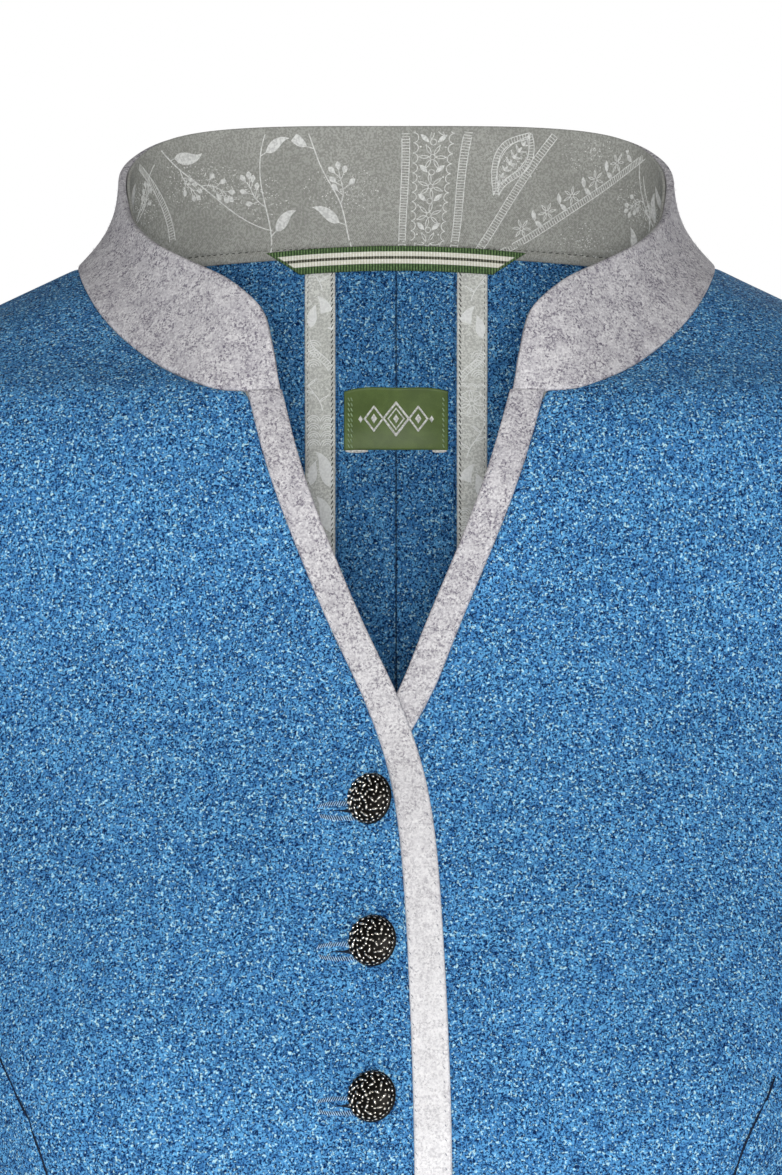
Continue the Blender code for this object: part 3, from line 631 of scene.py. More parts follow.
def boiled_wool():
    """Blue felted wool: short curly fibres, pale over mid blue over navy, in soft clouds."""
    wool = Finish("blue_boiled_wool", (0.060, 0.195, 0.400), 0.95, sheen=0.02, gloss=0.10)
    cloud = wool.between(wool.noise(42, 4.0, 0.6), 0.30, 0.70)
    colour = wool.mixed(cloud, (0.016, 0.098, 0.290), (0.031, 0.151, 0.400))
    fibres = wool.noise(1550, 1.0, 0.6, 0.45)
    deep = wool.between(fibres, 0.37, 0.53, 1.0, 0.0)
    colour = wool.mixed(wool.math("MULTIPLY", deep, 0.97), colour, (0.001, 0.013, 0.062))
    lit = wool.between(fibres, 0.50, 0.61)
    patch = wool.between(wool.noise(280, 3.0, offset=(0.3, 0.1, 0.7)), 0.36, 0.60, 0.45, 1.0)
    curls = wool.lines(820, 0.055, detail=1.0, distortion=0.7, offset=(1.7, 0.4, 0.2))
    pale = wool.math("MAXIMUM", wool.math("MULTIPLY", lit, 0.90), curls)
    pale = wool.math("MULTIPLY", pale, patch)
    colour = wool.mixed(wool.math("MULTIPLY", pale, 0.92), colour, (0.138, 0.428, 0.755))
    # Painted highlight: near-white glints, as light catching single fibres, painted into the colour.
    glint = wool.between(wool.noise(1200, 1.0, offset=(0.9, 0.2, 1.4)), 0.60, 0.70)
    colour = wool.mixed(wool.math("MULTIPLY", glint, 0.75), colour, (0.56, 0.88, 0.98))
    wool.set("Base Color", colour)
    height = wool.math("SUBTRACT", wool.math("MULTIPLY", pale, 0.7), deep)
    wool.bump(height, 0.22 * MM, 0.7)
    return wool.material


def marled_felt():
    """Light grey felt with dark purple-grey hairs in clusters. It is painted paler and plainer lower on the
    front: painted light, lighter where the light falls brighter, darker up on the collar in more shade.
    """
    felt = Finish("grey_marled_felt", (0.56, 0.55, 0.56), 0.95, sheen=0.02, gloss=0.12)
    height = felt.add("ShaderNodeSeparateXYZ", {"Vector": felt.place}).outputs["Z"]
    # Painted light: a gradient by height paints the felt lighter low on the front and darker up on the
    # collar, as the light falls.
    painted_light_low = felt.between(height, -0.235, -0.055, 1.0, 0.0)
    cloud = felt.between(felt.noise(150, 5.0, 0.7), 0.36, 0.64)
    low = felt.mixed(painted_light_low, (0.50, 0.485, 0.51), (0.72, 0.71, 0.72))
    high = felt.mixed(painted_light_low, (0.64, 0.625, 0.64), (0.79, 0.78, 0.79))
    colour = felt.mixed(cloud, low, high)
    thick = felt.between(felt.noise(260, 4.0, 0.7, offset=(0.2, 0.8, 0.4)), 0.36, 0.60, 0.35, 1.0)
    flecks = felt.between(felt.noise(1350, 2.0, 0.7), 0.44, 0.64)
    blots = felt.between(felt.noise(560, 4.0, 0.8, offset=(0.1, 0.5, 0.9)), 0.48, 0.66)
    dark = felt.math("MAXIMUM", flecks, felt.math("MULTIPLY", blots, 0.9))
    dark = felt.math("MULTIPLY", dark, thick)
    # Painted light: fewer dark hairs low on the front, which paints it paler there.
    share = felt.between(painted_light_low, 0.0, 1.0, 0.95, 0.42)
    colour = felt.mixed(felt.math("MULTIPLY", dark, share), colour, (0.120, 0.105, 0.145))
    pale = felt.between(felt.noise(1500, 1.0, offset=(0.6, 0.3, 0.1)), 0.54, 0.66)
    colour = felt.mixed(felt.math("MULTIPLY", pale, 0.35), colour, (0.90, 0.89, 0.89))
    felt.set("Base Color", colour)
    felt.bump(felt.math("SUBTRACT", felt.noise(1300, 2.0), felt.math("MULTIPLY", dark, 0.5)), 0.20 * MM, 0.7)
    return felt.material


def sage_cotton(name, painted_lightening):
    """Sage grey cotton in a fine twill, a little uneven. Every colour is scaled by the painted lightening,
    which above 1.0 is painted light.
    """
    def tone(*colour):
        return tuple(min(channel * painted_lightening, 0.92) for channel in colour)

    cotton = Finish(name, tone(0.36, 0.362, 0.330), 0.85, sheen=0.02, gloss=0.2)
    cloud = cotton.between(cotton.noise(55, 3.0), 0.3, 0.7)
    colour = cotton.mixed(cloud, tone(0.345, 0.350, 0.322), tone(0.415, 0.420, 0.390))
    yarn = cotton.between(cotton.noise(1500, 1.0, 0.6, 0.3), 0.38, 0.60)
    colour = cotton.mixed(cotton.math("MULTIPLY", yarn, 0.65), colour, tone(0.180, 0.182, 0.162))
    split = cotton.add("ShaderNodeSeparateXYZ", {"Vector": cotton.run()})
    slant = cotton.math("ADD", split.outputs["X"], cotton.math("MULTIPLY", split.outputs["Y"], 1.6))
    wave = cotton.math("SINE", cotton.math("MULTIPLY", slant, math.tau / (0.62 * MM)))
    twill = cotton.between(wave, -1.0, 1.0)
    colour = cotton.mixed(cotton.math("MULTIPLY", twill, 0.25), colour, tone(0.56, 0.565, 0.53))
    cotton.set("Base Color", colour)
    cotton.bump(cotton.math("ADD", twill, yarn), 0.06 * MM, 0.5)
    return cotton.material


def print_ink(name, low, high):
    """The pale pigment of the print, with the cloth's grain showing through it."""
    ink = Finish(name, (high, high, high), 0.8, gloss=0.2)
    grain = ink.between(ink.noise(1300, 1.0), 0.34, 0.64)
    ink.set("Base Color", ink.mixed(grain, (low, low * 1.01, low * 0.98), (high, high * 1.01, high * 0.98)))
    return ink.material


TAPE_EDGE, TAPE_STRIPE, TAPE_MIDDLE = 2.3 * MM, 1.45 * MM, 0.85 * MM


def striped_tape():
    """Ribbed green tape: two cream stripes with a dashed line between, green again along its folds."""
    tape = Finish("striped_tape", (0.10, 0.17, 0.08), 0.8, sheen=0.03, gloss=0.2)
    split = tape.add("ShaderNodeSeparateXYZ", {"Vector": tape.run()})
    along, height = split.outputs["X"], split.outputs["Y"]

    def stripe(middle, width, soft=0.08 * MM):
        away = tape.math("ABSOLUTE", tape.math("SUBTRACT", height, middle))
        return tape.between(away, width / 2 - soft, width / 2 + soft, 1.0, 0.0)

    # The colour follows the ribs, dark in their hollows and light on their crests. On the green and the cream
    # this is painted shade and painted highlight over the real ribbing; on the middle line it is also the
    # dashes' own dark and pale.
    rib = tape.between(tape.math("SINE", tape.math("MULTIPLY", along, math.tau / LOOP_RIB)), -0.9, 0.6)
    grain = tape.between(tape.noise(1500, 1.0), 0.34, 0.66)
    rib = tape.math("MULTIPLY", rib, tape.math("ADD", tape.math("MULTIPLY", grain, 0.5), 0.5))
    dashed = TAPE_EDGE + TAPE_STRIPE + TAPE_MIDDLE / 2
    cream = tape.math("MAXIMUM", stripe(TAPE_EDGE + TAPE_STRIPE / 2, TAPE_STRIPE),
                      stripe(dashed + (TAPE_MIDDLE + TAPE_STRIPE) / 2, TAPE_STRIPE))
    green = tape.mixed(rib, (0.020, 0.045, 0.016), (0.165, 0.270, 0.110))
    pale = tape.mixed(rib, (0.66, 0.64, 0.52), (0.95, 0.94, 0.88))
    dash = tape.mixed(rib, (0.010, 0.014, 0.010), (0.30, 0.30, 0.22))
    colour = tape.mixed(stripe(dashed, TAPE_MIDDLE), tape.mixed(cream, green, pale), dash)
    reach = tape.math("MULTIPLY_ADD", height, (LOOP_TOP - LOOP_FOOT) / LOOP_WIDTH, LOOP_FOOT)
    fold = tape.math("SUBTRACT", reach, tape.math("ABSOLUTE", along))
    tape.set("Base Color", tape.mixed(tape.between(fold, 0.9 * MM, 1.7 * MM, 1.0, 0.0), colour, green))
    tape.bump(tape.math("ADD", rib, grain), 0.08 * MM, 0.7)
    return tape.material


def green_satin():
    """Olive green woven satin."""
    satin = Finish("green_satin", (0.085, 0.150, 0.040), 0.42, sheen=0.05, gloss=0.35)
    split = satin.add("ShaderNodeSeparateXYZ", {"Vector": satin.run()})
    along, across = split.outputs["X"], split.outputs["Y"]
    slant = satin.math("MULTIPLY", satin.math("ADD", along, across), math.tau / (0.36 * MM))
    twill = satin.between(satin.math("SINE", slant), -1.0, 1.0)
    cloud = satin.between(satin.noise(210, 4.0, 0.6), 0.3, 0.7)
    colour = satin.mixed(twill, (0.085, 0.135, 0.030), (0.170, 0.245, 0.070))
    satin.set("Base Color", satin.mixed(satin.math("MULTIPLY", cloud, 0.55), colour, (0.070, 0.110, 0.028)))
    satin.bump(twill, 0.04 * MM, 0.6)
    return satin.material


def old_silver():
    """Antiqued silver: bright where it stands up, nearly black in its recesses."""
    silver = Finish("old_silver", (0.60, 0.58, 0.55), 0.20, metallic=1.0)
    depth = silver.add("ShaderNodeAttribute", attribute_name="recess").outputs["Fac"]
    spots = silver.math("MULTIPLY", silver.noise(900, 2.0), 0.25)
    tarnish = silver.between(silver.math("ADD", depth, spots), 0.25, 0.85)
    silver.set("Base Color", silver.mixed(tarnish, (0.70, 0.665, 0.60), (0.014, 0.013, 0.012)))
    silver.set("Roughness", silver.between(tarnish, 0.0, 1.0, 0.17, 0.5))
    return silver.material


def thread(name, colour):
    """Sewing thread, twisted. The same plain material also gives the dark ribbons of painted shade in the
    buttonholes and the seam grooves.
    """
    twisted = Finish(name, colour, 0.7, gloss=0.2)
    dark = tuple(0.6 * channel for channel in colour)
    grain = twisted.between(twisted.noise(1500, 1.0), 0.35, 0.65)
    twisted.set("Base Color", twisted.mixed(grain, dark, colour))
    return twisted.material


# Studio

def area_light(name, place, aim, size, power):
    lamp = bpy.data.lights.new(name, "AREA")
    lamp.shape = "DISK"
    lamp.size = size
    lamp.energy = power
    light = bpy.data.objects.new(name, lamp)
    light.location = place
    light.rotation_euler = (Vector(aim) - Vector(place)).to_track_quat("-Z", "Y").to_euler()
    light.visible_camera = False
    bpy.context.scene.collection.objects.link(light)


def studio():
    world = bpy.data.worlds.new("white_studio")
    bpy.context.scene.world = world
    world.use_nodes = True
    tree = world.node_tree
    soft = tree.nodes["Background"]
    soft.inputs["Color"].default_value = (1.0, 1.0, 1.0, 1.0)
    soft.inputs["Strength"].default_value = AMBIENT
    white = tree.nodes.new("ShaderNodeBackground")
    white.inputs["Color"].default_value = (1.0, 1.0, 1.0, 1.0)
    rays, chosen = tree.nodes.new("ShaderNodeLightPath"), tree.nodes.new("ShaderNodeMixShader")
    tree.links.new(rays.outputs["Is Camera Ray"], chosen.inputs[0])
    tree.links.new(soft.outputs[0], chosen.inputs[1])
    tree.links.new(white.outputs[0], chosen.inputs[2])
    tree.links.new(chosen.outputs[0], tree.nodes["World Output"].inputs["Surface"])
    area_light("front_light", (-0.10, -2.6, -0.15), (0.0, 0.0, -0.12), 0.9, FRONT_POWER)
    area_light("lens_light", (0.0, -1.98, -0.07), (0.0, 0.0, -0.10), 0.30, LENS_POWER)
    area_light("low_front_light", (0.05, -2.3, -0.80), (0.0, 0.0, -0.25), 0.9, LOW_POWER)
    area_light("side_light_left", (3.2, 0.9, -0.10), (0.0, 0.0, -0.25), 1.4, SIDE_POWER)
    area_light("side_light_right", (-3.2, 0.7, -0.10), (0.0, 0.0, -0.25), 1.4, SIDE_POWER)
    area_light("back_light", (0.9, 3.6, 1.2), (0.0, 0.0, -0.25), 1.4, BACK_POWER)

    pale = Finish("pale_floor", (0.80, 0.80, 0.80), 0.95, gloss=0.0)
    pale.set("Emission Color", (1.0, 1.0, 1.0, 1.0))
    pale.set("Emission Strength", FLOOR_GLOW)
    work = bmesh.new()
    bmesh.ops.create_grid(work, x_segments=2, y_segments=2, size=30.0)
    bmesh.ops.translate(work, vec=(0, 0, FLOOR_HEIGHT), verts=work.verts[:])
    mesh = bpy.data.meshes.new("floor")
    work.to_mesh(mesh)
    work.free()
    mesh.materials.append(pale.material)
    floor = bpy.data.objects.new("floor", mesh)
    bpy.context.scene.collection.objects.link(floor)
    bpy.context.scene.view_settings.view_transform = "Standard"


AMBIENT = 0.26
FLOOR_GLOW = 0.36
FRONT_POWER = 4.5
LENS_POWER = 20.0
LOW_POWER = 8.0
SIDE_POWER = 7.0
BACK_POWER = 60.0
FLOOR_HEIGHT = -0.95


# Buttons

BUTTON_HEIGHTS = (-0.1589, *(-0.1985 - 0.0435 * n for n in range(7)))
BUTTON_NOD = math.radians(10.0)
BUTTON_TURNS = (math.radians(36.0), *(math.radians(26.0),) * 7)
BUTTON_TALL = 4.6 * MM
BUTTON_PROFILE = (
    (0.0, 0.10), (5.9, 0.10), (6.6, 0.0), (7.15, 0.12), (7.42, 0.45), (7.42, 0.80),
    (7.20, 1.10), (6.98, 1.18), (6.90, 1.35), (6.88, 2.05), (6.72, 2.28), (6.45, 2.42),
    (6.25, 2.40), (5.95, 2.50), (5.55, 2.78), (5.05, 3.06), (4.55, 3.28), (4.25, 3.32),
    (3.95, 3.46), (3.4, 3.70), (2.8, 3.88), (2.3, 3.94), (1.8, 4.02), (1.2, 4.12),
    (0.6, 4.18), (0.0, 4.2),
)


def ring_of(work, radius, height, count, size, slant=0.0, start=0.0, tip=0.0):
    """Equal rounded lumps in a ring. The size is along the radius, round the ring and up, in millimetres."""
    lump = bmesh.new()
    place = (Matrix.Rotation(math.tau * start / count, 4, "Z")
             @ Matrix.Translation((radius * MM, 0, height * MM))
             @ Matrix.Rotation(tip, 4, "Y") @ Matrix.Rotation(slant, 4, "Z")
             @ Matrix.Diagonal((size[0] * MM, size[1] * MM, size[2] * MM, 1)))
    bmesh.ops.create_uvsphere(lump, u_segments=8, v_segments=6, radius=1.0, matrix=place)
    if count > 1:
        bmesh.ops.spin(lump, geom=lump.verts[:] + lump.edges[:] + lump.faces[:], cent=(0, 0, 0),
                       axis=(0, 0, 1), angle=math.tau * (count - 1) / count, steps=count - 1,
                       use_duplicate=True)
    part = bpy.data.meshes.new("lumps")
    lump.to_mesh(part)
    lump.free()
    work.from_mesh(part)
    bpy.data.meshes.remove(part)


def button_mesh():
    """A domed button facing +Z: a turned body with rings of beads and petals raised on it."""
    work = bmesh.new()
    line = [work.verts.new((radius * MM, 0, height * MM)) for radius, height in BUTTON_PROFILE]
    edges = [work.edges.new(pair) for pair in zip(line, line[1:])]
    bmesh.ops.spin(work, geom=line + edges, cent=(0, 0, 0), axis=(0, 0, 1), angle=math.tau, steps=40,
                   use_merge=True, use_duplicate=False)
    bmesh.ops.remove_doubles(work, verts=work.verts[:], dist=0.001 * MM)
    bmesh.ops.recalc_face_normals(work, faces=work.faces[:])
    body = len(work.verts)
    radii, heights = (np.array(column) for column in zip(*sorted(BUTTON_PROFILE[10:])))

    def raised(radius, count, size, slant=0.0, start=0.0, lift=0.0):
        places = (radius, radius - 0.3, radius + 0.3)
        rise, before, after = (float(np.interp(place, radii, heights)) for place in places)
        ring_of(work, radius, rise + lift, count, size, slant, start, math.atan2(before - after, 0.6))

    raised(6.30, 21, (0.40, 0.56, 0.50), lift=0.05)
    raised(5.05, 9, (1.05, 0.46, 0.62), slant=0.9)
    raised(5.45, 9, (0.42, 0.36, 0.42), start=0.42, lift=0.10)
    raised(4.35, 9, (0.34, 0.60, 0.44), start=0.62, slant=-0.5, lift=0.02)
    raised(3.20, 7, (0.95, 0.44, 0.62), slant=-0.7)
    raised(3.55, 7, (0.30, 0.34, 0.36), start=0.5, lift=0.08)
    raised(2.05, 7, (0.30, 0.42, 0.38), start=0.2, lift=0.06)
    raised(1.25, 4, (0.62, 0.42, 0.52), slant=0.6)
    raised(0.0, 1, (0.60, 0.60, 0.62), lift=0.06)
    ring_of(work, 6.86, 1.75, 17, (0.34, 0.62, 0.50), tip=0.5)
    ring_of(work, 6.95, 1.35, 17, (0.26, 0.30, 0.30), start=0.5)
    mesh = bpy.data.meshes.new("silver_button")
    work.to_mesh(mesh)
    work.free()
    points = np.array([vertex.co[:] for vertex in mesh.vertices]) / MM
    radius = np.hypot(points[:, 0], points[:, 1])
    over = points[:, 2] - np.interp(radius, radii, heights)
    side = (np.abs(points[:, 2] - 1.7) < 0.6) & (radius > 6.5)
    over = np.where(side, (radius - 6.9) * 1.6, over)
    recess = np.clip(1.0 - over / 0.36, 0.0, 1.0) * np.where(points[:, 2] < 1.15, 0.70, 1.0)
    turned = np.arange(len(points)) < body
    recess = np.where(turned & (radius < 6.3) & (points[:, 2] > 1.2), 1.0, recess)
    layer = mesh.attributes.new("recess", "FLOAT", "POINT")
    layer.data.foreach_set("value", recess.astype(np.float32))
    return mesh


def buttons(material):
    pattern = button_mesh()
    for number, (height, turn) in enumerate(zip(BUTTON_HEIGHTS, BUTTON_TURNS), start=1):
        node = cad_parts[f"button_{number}"]
        facing_out = Vector((-math.sin(turn) * math.cos(BUTTON_NOD), -math.cos(turn) * math.cos(BUTTON_NOD),
                             math.sin(BUTTON_NOD)))
        top = max((vertex.co for vertex in node.data.vertices), key=lambda co: co.dot(facing_out))
        low = min((vertex.co for vertex in node.data.vertices), key=lambda co: co.dot(facing_out))
        back = top - facing_out * BUTTON_TALL
        mesh = pattern.copy()
        mesh.name = f"silver_button_{number}"
        work = bmesh.new()
        work.from_mesh(mesh)
        shank = back.dot(facing_out) - low.dot(facing_out)
        bmesh.ops.create_cone(work, segments=14, radius1=1.25 * MM, radius2=1.1 * MM, depth=shank,
                              cap_ends=True, matrix=Matrix.Translation((0, 0, -shank / 2)))
        spun = Matrix.Rotation(0.7 * number, 4, "Z")
        place = Matrix.Translation(back) @ facing_out.to_track_quat("Z", "Y").to_matrix().to_4x4() @ spun
        bmesh.ops.transform(work, matrix=place, verts=work.verts[:])
        work.to_mesh(mesh)
        work.free()
        obj = smooth_mesh(f"silver_button_{number}", mesh, material)
        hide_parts(f"button_{number}")


# The print of the lining: vines, leaves, sprigs and ladder bands in a layout of its own

def winding(start, heading, length, bends, steps=14):
    """A flat line in millimetres. The bends are how much it turns in each equal stretch of it."""
    t = (np.arange(steps) + 0.5) / steps
    turn = np.interp(t, (np.arange(len(bends)) + 0.5) / len(bends), bends)
    heading = math.radians(heading) + np.radians(np.cumsum(turn) / steps * len(bends))
    step = length / steps
    x = start[0] + np.concatenate(([0], np.cumsum(np.cos(heading)))) * step
    y = start[1] + np.concatenate(([0], np.cumsum(np.sin(heading)))) * step
    return np.stack((x, y), axis=1)


def leaf_widths(width, stations, fullest=0.42):
    t = np.linspace(0, 1, stations)
    return width * np.sin(math.pi * t ** (math.log(0.5) / math.log(fullest))) + 0.08


class Design:
    """Flat shapes in millimetres, as lines with a width at each point."""

    def __init__(self, seed=1):
        self.shapes, self.chance = [], random.Random(seed)

    def line(self, points, width):
        self.shapes.append((np.asarray(points, float), np.broadcast_to(width, len(points))))

    def stem(self, start, heading, length, bends, width=0.36, steps=14):
        line = winding(start, heading, length, bends, steps)
        self.line(line, np.linspace(width * 1.15, width * 0.75, len(line)))
        return line

    def leaf(self, start, heading, length, width, bends=(18, -30), fullest=0.42):
        line = winding(start, heading, length, bends, 8)
        self.line(line, leaf_widths(width, len(line), fullest))

    def dot(self, place, size):
        points = np.array(place) + np.array(((-0.5, 0), (0, 0), (0.5, 0))) * size
        self.line(points, np.array((0.5, 1, 0.5)) * size)

    def spray(self, centre, radius, count, size=0.38):
        """Dots scattered round a sprig, closer and larger near its middle."""
        for _ in range(count):
            angle, reach = self.chance.uniform(0, math.tau), self.chance.random() ** 0.75
            place = (centre[0] + 1.25 * radius * reach * math.cos(angle),
                     centre[1] + 0.8 * radius * reach * math.sin(angle))
            self.dot(place, size * self.chance.uniform(0.55, 1.1))

    def sprig(self, start, heading, size, turn, dots=160):
        """A short curved stem with teardrop buds on fine stalks, in a cloud of dots."""
        line = self.stem(start, heading, 7.5 * size, (turn, turn * 0.6), 0.30, 9)
        for at, swing, reach in ((3, 58, 1.7), (5, -60, 1.9), (6, 50, 1.7), (8, -46, 1.8), (9, 24, 1.4),
                                 (9, -22, 1.7)):
            lead = math.degrees(math.atan2(*(line[at] - line[at - 1])[::-1]))
            stalk = self.stem(line[at], lead + swing, reach * size, (8,), 0.24, 3)
            self.leaf(stalk[-1], lead + swing * 0.8, 2.5 * size, 1.45 * size, (6, -8), 0.60)
        self.spray(line[5], 8.5 * size, dots)

    def ladder(self, line, width, pitch=0.85):
        """Two lines side by side with close rungs between them."""
        along = np.gradient(line, axis=0)
        along /= np.linalg.norm(along, axis=1, keepdims=True)
        side = np.stack((-along[:, 1], along[:, 0]), axis=1)
        for offset in (-width / 2, width / 2):
            self.line(line + side * offset, 0.28)
        run = np.concatenate(([0], np.cumsum(np.linalg.norm(np.diff(line, axis=0), axis=1))))
        for place in np.arange(pitch / 2, run[-1], pitch):
            centre, across = (np.array([np.interp(place, run, values[:, i]) for i in (0, 1)])
                              for values in (line, side))
            self.line([centre + across * width * reach for reach in (-0.5, 0.5)], 0.22)

    def arc(self, centre, radius, first, last, width=0.26):
        angles = np.radians(np.linspace(first, last, 9))
        self.line(np.array(centre) + radius * np.stack((np.cos(angles), np.sin(angles)), axis=1), width)

    def scallops(self, left, right, height, count, rings=3):
        """A row of nested arcs side by side, as in a scale pattern."""
        wide = (right - left) / count
        for k in range(count):
            for ring in range(rings):
                self.arc((left + wide * (k + 0.5), height), wide / 2 * (1 - 0.30 * ring), 8, 172)

    def flower(self, centre, size, petals, turn):
        for k in range(petals):
            heading = turn + 360 / petals * k
            start = np.array(centre) + 0.28 * size * np.array((math.cos(math.radians(heading)),
                                                               math.sin(math.radians(heading))))
            for bend in (38, -38):
                self.line(winding(start, heading + bend, size, (-bend * 1.9,), 7), 0.24)
        self.arc(centre, 0.24 * size, 0, 360)

    def paisley(self, tip, heading, length, turn):
        """A bent drop edged with a ladder and filled with leaves, rings and dots."""
        spine = winding(tip, heading, length, (turn, turn * 0.5, -turn * 0.4), 18)
        along = np.gradient(spine, axis=0)
        along /= np.linalg.norm(along, axis=1, keepdims=True)
        side = np.stack((-along[:, 1], along[:, 0]), axis=1)
        half = length * 0.25 * np.sin(math.pi * np.linspace(0.02, 1.0, len(spine)) ** 1.5)[:, None]

        def outline(share):
            return np.concatenate((spine + side * half * share, (spine - side * half * share)[::-1]))

        self.ladder(outline(1.0), 1.7)
        self.line(outline(0.72)[2:-2], 0.26)
        for i in range(3, len(spine) - 1, 2):
            lead = math.degrees(math.atan2(along[i, 1], along[i, 0]))
            reach = float(half[i, 0]) * 0.56
            for swing in (56, -56):
                for bend in (26, -26):
                    self.line(winding(spine[i], lead + swing + bend, reach, (-bend * 2,), 6), 0.24)
            self.dot(spine[i - 1], 0.5)
            self.leaf(spine[i], lead, 1.7, 0.7, (4, -4), 0.5)
        self.spray(spine[9], length * 0.34, 90, 0.30)


def lining_design():
    """The collar lining's print, in millimetres from the centre back and up from the lower edge."""
    art = Design(7)
    for start, heading, length, bends, leaves, sprigs in (
            ((-14, 0), 118, 50, (-30, 34, -26, 20), ((5, 58, 10, 3.2), (16, 52, 9, 3.0)),
             ((8, -56, 1.15, 34),)),
            ((-44, 0), 62, 50, (40, -26, -34), ((4, -56, 10, 3.4), (15, -50, 9, 3.0)), ((8, 60, 1.1, -34),)),
            ((-80, 41), -58, 50, (26, -16, 30), ((4, 50, 12, 3.8),), ((10, 54, 1.1, -30), (6, -56, 1.0, 34))),
            ((-106, 2), 44, 40, (30, -44), ((8, 54, 10, 3.2),), ((12, -50, 1.0, 36),)),
            ((80, 0), 66, 24, (-20, 30), ((5, 50, 8, 2.8), (13, -46, 7, 2.4)), ((18, 34, 0.8, -36),)),
            ((101, 0), 106, 42, (26, -34), ((9, -54, 10, 3.2),), ((14, 48, 0.95, 34),))):
        line = art.stem(start, heading, length, bends, 0.38, 22)
        leads = np.degrees(np.arctan2(*np.diff(line, axis=0).T[::-1]))
        for at, swing, size, width in leaves:
            stalk = art.stem(line[at], leads[at] + swing, 2.2, (8,), 0.30, 3)
            curl = math.copysign(26, -swing), math.copysign(44, swing)
            art.leaf(stalk[-1], leads[at] + swing, size, width, curl, 0.38)
        for at, swing, size, turn in sprigs:
            art.sprig(line[at], leads[at] + swing, size, turn)
    art.ladder(winding((-98, 37), -24, 36, (-24, -30), 14), 2.2)
    art.ladder(winding((2.0, 0), 91, 45, (-5, 8), 12), 2.2)
    art.ladder(winding((19.5, 0), 83, 46, (12, -14), 12), 2.4)
    for side in (4.9, 16.4):
        for k in range(15):
            art.arc((side, 1.6 + 3.0 * k), 1.45, *((90, 270) if side > 10 else (-90, 90)))
    for k, height in enumerate((5.0, 14.0, 23.0, 32.0, 41.0)):
        art.flower((10.6, height), 3.4, 6, 20 * k)
        for swing in (-1, 1):
            foot = (10.6 + 1.2 * swing, height + 4.4)
            art.leaf(foot, 90 - 58 * swing, 3.4, 1.4, (16 * swing, -12 * swing), 0.5)
            art.dot((10.6 + 3.6 * swing, height + 3.0), 0.6)
        art.arc((10.6, height + 4.4), 0.9, 0, 360)
    art.ladder(winding((26.5, 0), 60, 52, (8, -12), 14), 2.4)
    art.ladder(winding((31.5, 0), 31, 70, (8, -12), 18), 2.0)
    art.paisley((31.5, 21), 96, 20, -26)
    art.spray((36, 30), 6, 70)
    for k in range(5):
        place = np.array((41.5 + 7.6 * k, 11.0 + 5.6 * k))
        art.flower(place, 2.5, 6, 17 * k)
        for swing in (-1, 1):
            art.leaf(place + (3.9, 2.7), 38 + 62 * swing, 3.6, 1.4, (16 * swing, -12 * swing), 0.5)
    art.spray((60, 36), 8, 90)
    art.spray((64, 8), 8, 110)
    for side in (-1, 1):
        art.stem((side * 108, 2), 90 + side * 24, 36, (side * 30, -side * 36), 0.34, 18)
        art.sprig((side * 118, 16), 90 - side * 50, 1.0, side * 34, 70)
        art.leaf((side * 104, 22), 90 + side * 40, 10, 3.2, (22, -36))
        art.sprig((side * 140, 12), 90 + side * 40, 0.9, -side * 34, 60)
        art.leaf((side * 152, 8), 80, 9, 2.8, (22, -34))
        art.sprig((side * 172, 8), 90 - side * 20, 0.9, side * 30, 50)
        art.leaf((side * 190, 10), 70, 9, 2.8, (22, -34))
        art.stem((side * 134, 1), 96, 28, (side * 24, -side * 30), 0.32, 14)
        art.stem((side * 166, 1), 84, 26, (-side * 24, side * 30), 0.32, 14)
    return art


def strip_design(length, seed, order):
    """The print of a seam binding, a closer part of the same cloth. Millimetres from its lower end."""
    art = Design(seed)
    pick = art.chance
    height = 0.0
    for turn in range(60):
        kind = order[turn % len(order)]
        if height > length - 2:
            break
        if kind == 0:
            for row in range(4):
                art.scallops(0.3, 9.3, height + 2.6 * row, 2)
            height += 11.5
        elif kind == 1:
            art.ladder(winding((pick.uniform(0.8, 2.5), height), 66, 14, (-34, 50), 10), 1.9)
            for row in range(3):
                art.scallops(4.6, 9.4, height + 1.0 + 3.2 * row, 1, 4)
            height += 12.0
        elif kind == 2:
            art.leaf((pick.uniform(0.8, 2), height + 1), 58, 13, 4.2, (30, -42))
            art.leaf((8.0, height + 2), 112, 8, 3.0, (-24, 30))
            art.spray((4.6, height + 9), 5.0, 30, 0.36)
            height += 14.5
        elif kind == 3:
            line = art.stem((pick.uniform(3, 6), height), 84, 16, (-40, 52), 0.30, 10)
            for at, swing in ((2, 60), (4, -62), (6, 55), (8, -50), (9, 30)):
                for bend in (26, -26):
                    art.line(winding(line[at], 84 + swing + bend, 3.6, (-bend * 2,), 6), 0.26)
            art.spray((5, height + 8), 5.5, 24, 0.34)
            height += 13.5
        else:
            art.flower((4.8, height + 4.4), 3.6, 7, pick.uniform(0, 50))
            art.arc((4.8, height + 4.4), 4.4, 20, 340)
            art.scallops(0.3, 9.3, height + 9.4, 3, 2)
            height += 12.0
    return art


STRIP_ORDERS = ((2, 2, 0, 3, 1, 2, 3, 0), (2, 3, 2, 1, 0, 2, 3, 4, 1))


def printed(name, sheet, art, origin, material, margin):
    """The design laid on the visible face of a lining or strip, kept inside its edges."""
    tall = distances(sheet.inner, 0)[0][-1]
    pieces = []
    for line, widths in art.shapes:
        across, up = origin + line[:, 0] * MM, line[:, 1] * MM
        room = np.interp(across, sheet.across, tall)
        side = widths * MM / 2 + margin
        fits = (across > side) & (across < sheet.across[-1] - side) & (up > margin) & (up < room - side)
        runs = np.flatnonzero(np.diff(np.concatenate(([0], fits.astype(int), [0]))))
        for first, last in zip(runs[::2], runs[1::2]):
            if last - first > 1:
                here = slice(first, last)
                pieces.append((up[here] / room[here] * sheet.up[-1], across[here], widths[here] * MM))
    up, across = (np.concatenate([piece[i] for piece in pieces]) for i in (0, 1))
    point, _, _, outward = sheet.on_face(up, across)
    lines, first = Lines(), 0
    for piece in pieces:
        here = slice(first, first + len(piece[0]))
        lines.add(point[here], outward[here], piece[2], 0.07 * MM, 0.03 * MM)
        first = here.stop
    return lines.finish(name, material, "printed_cotton", smooth=False)


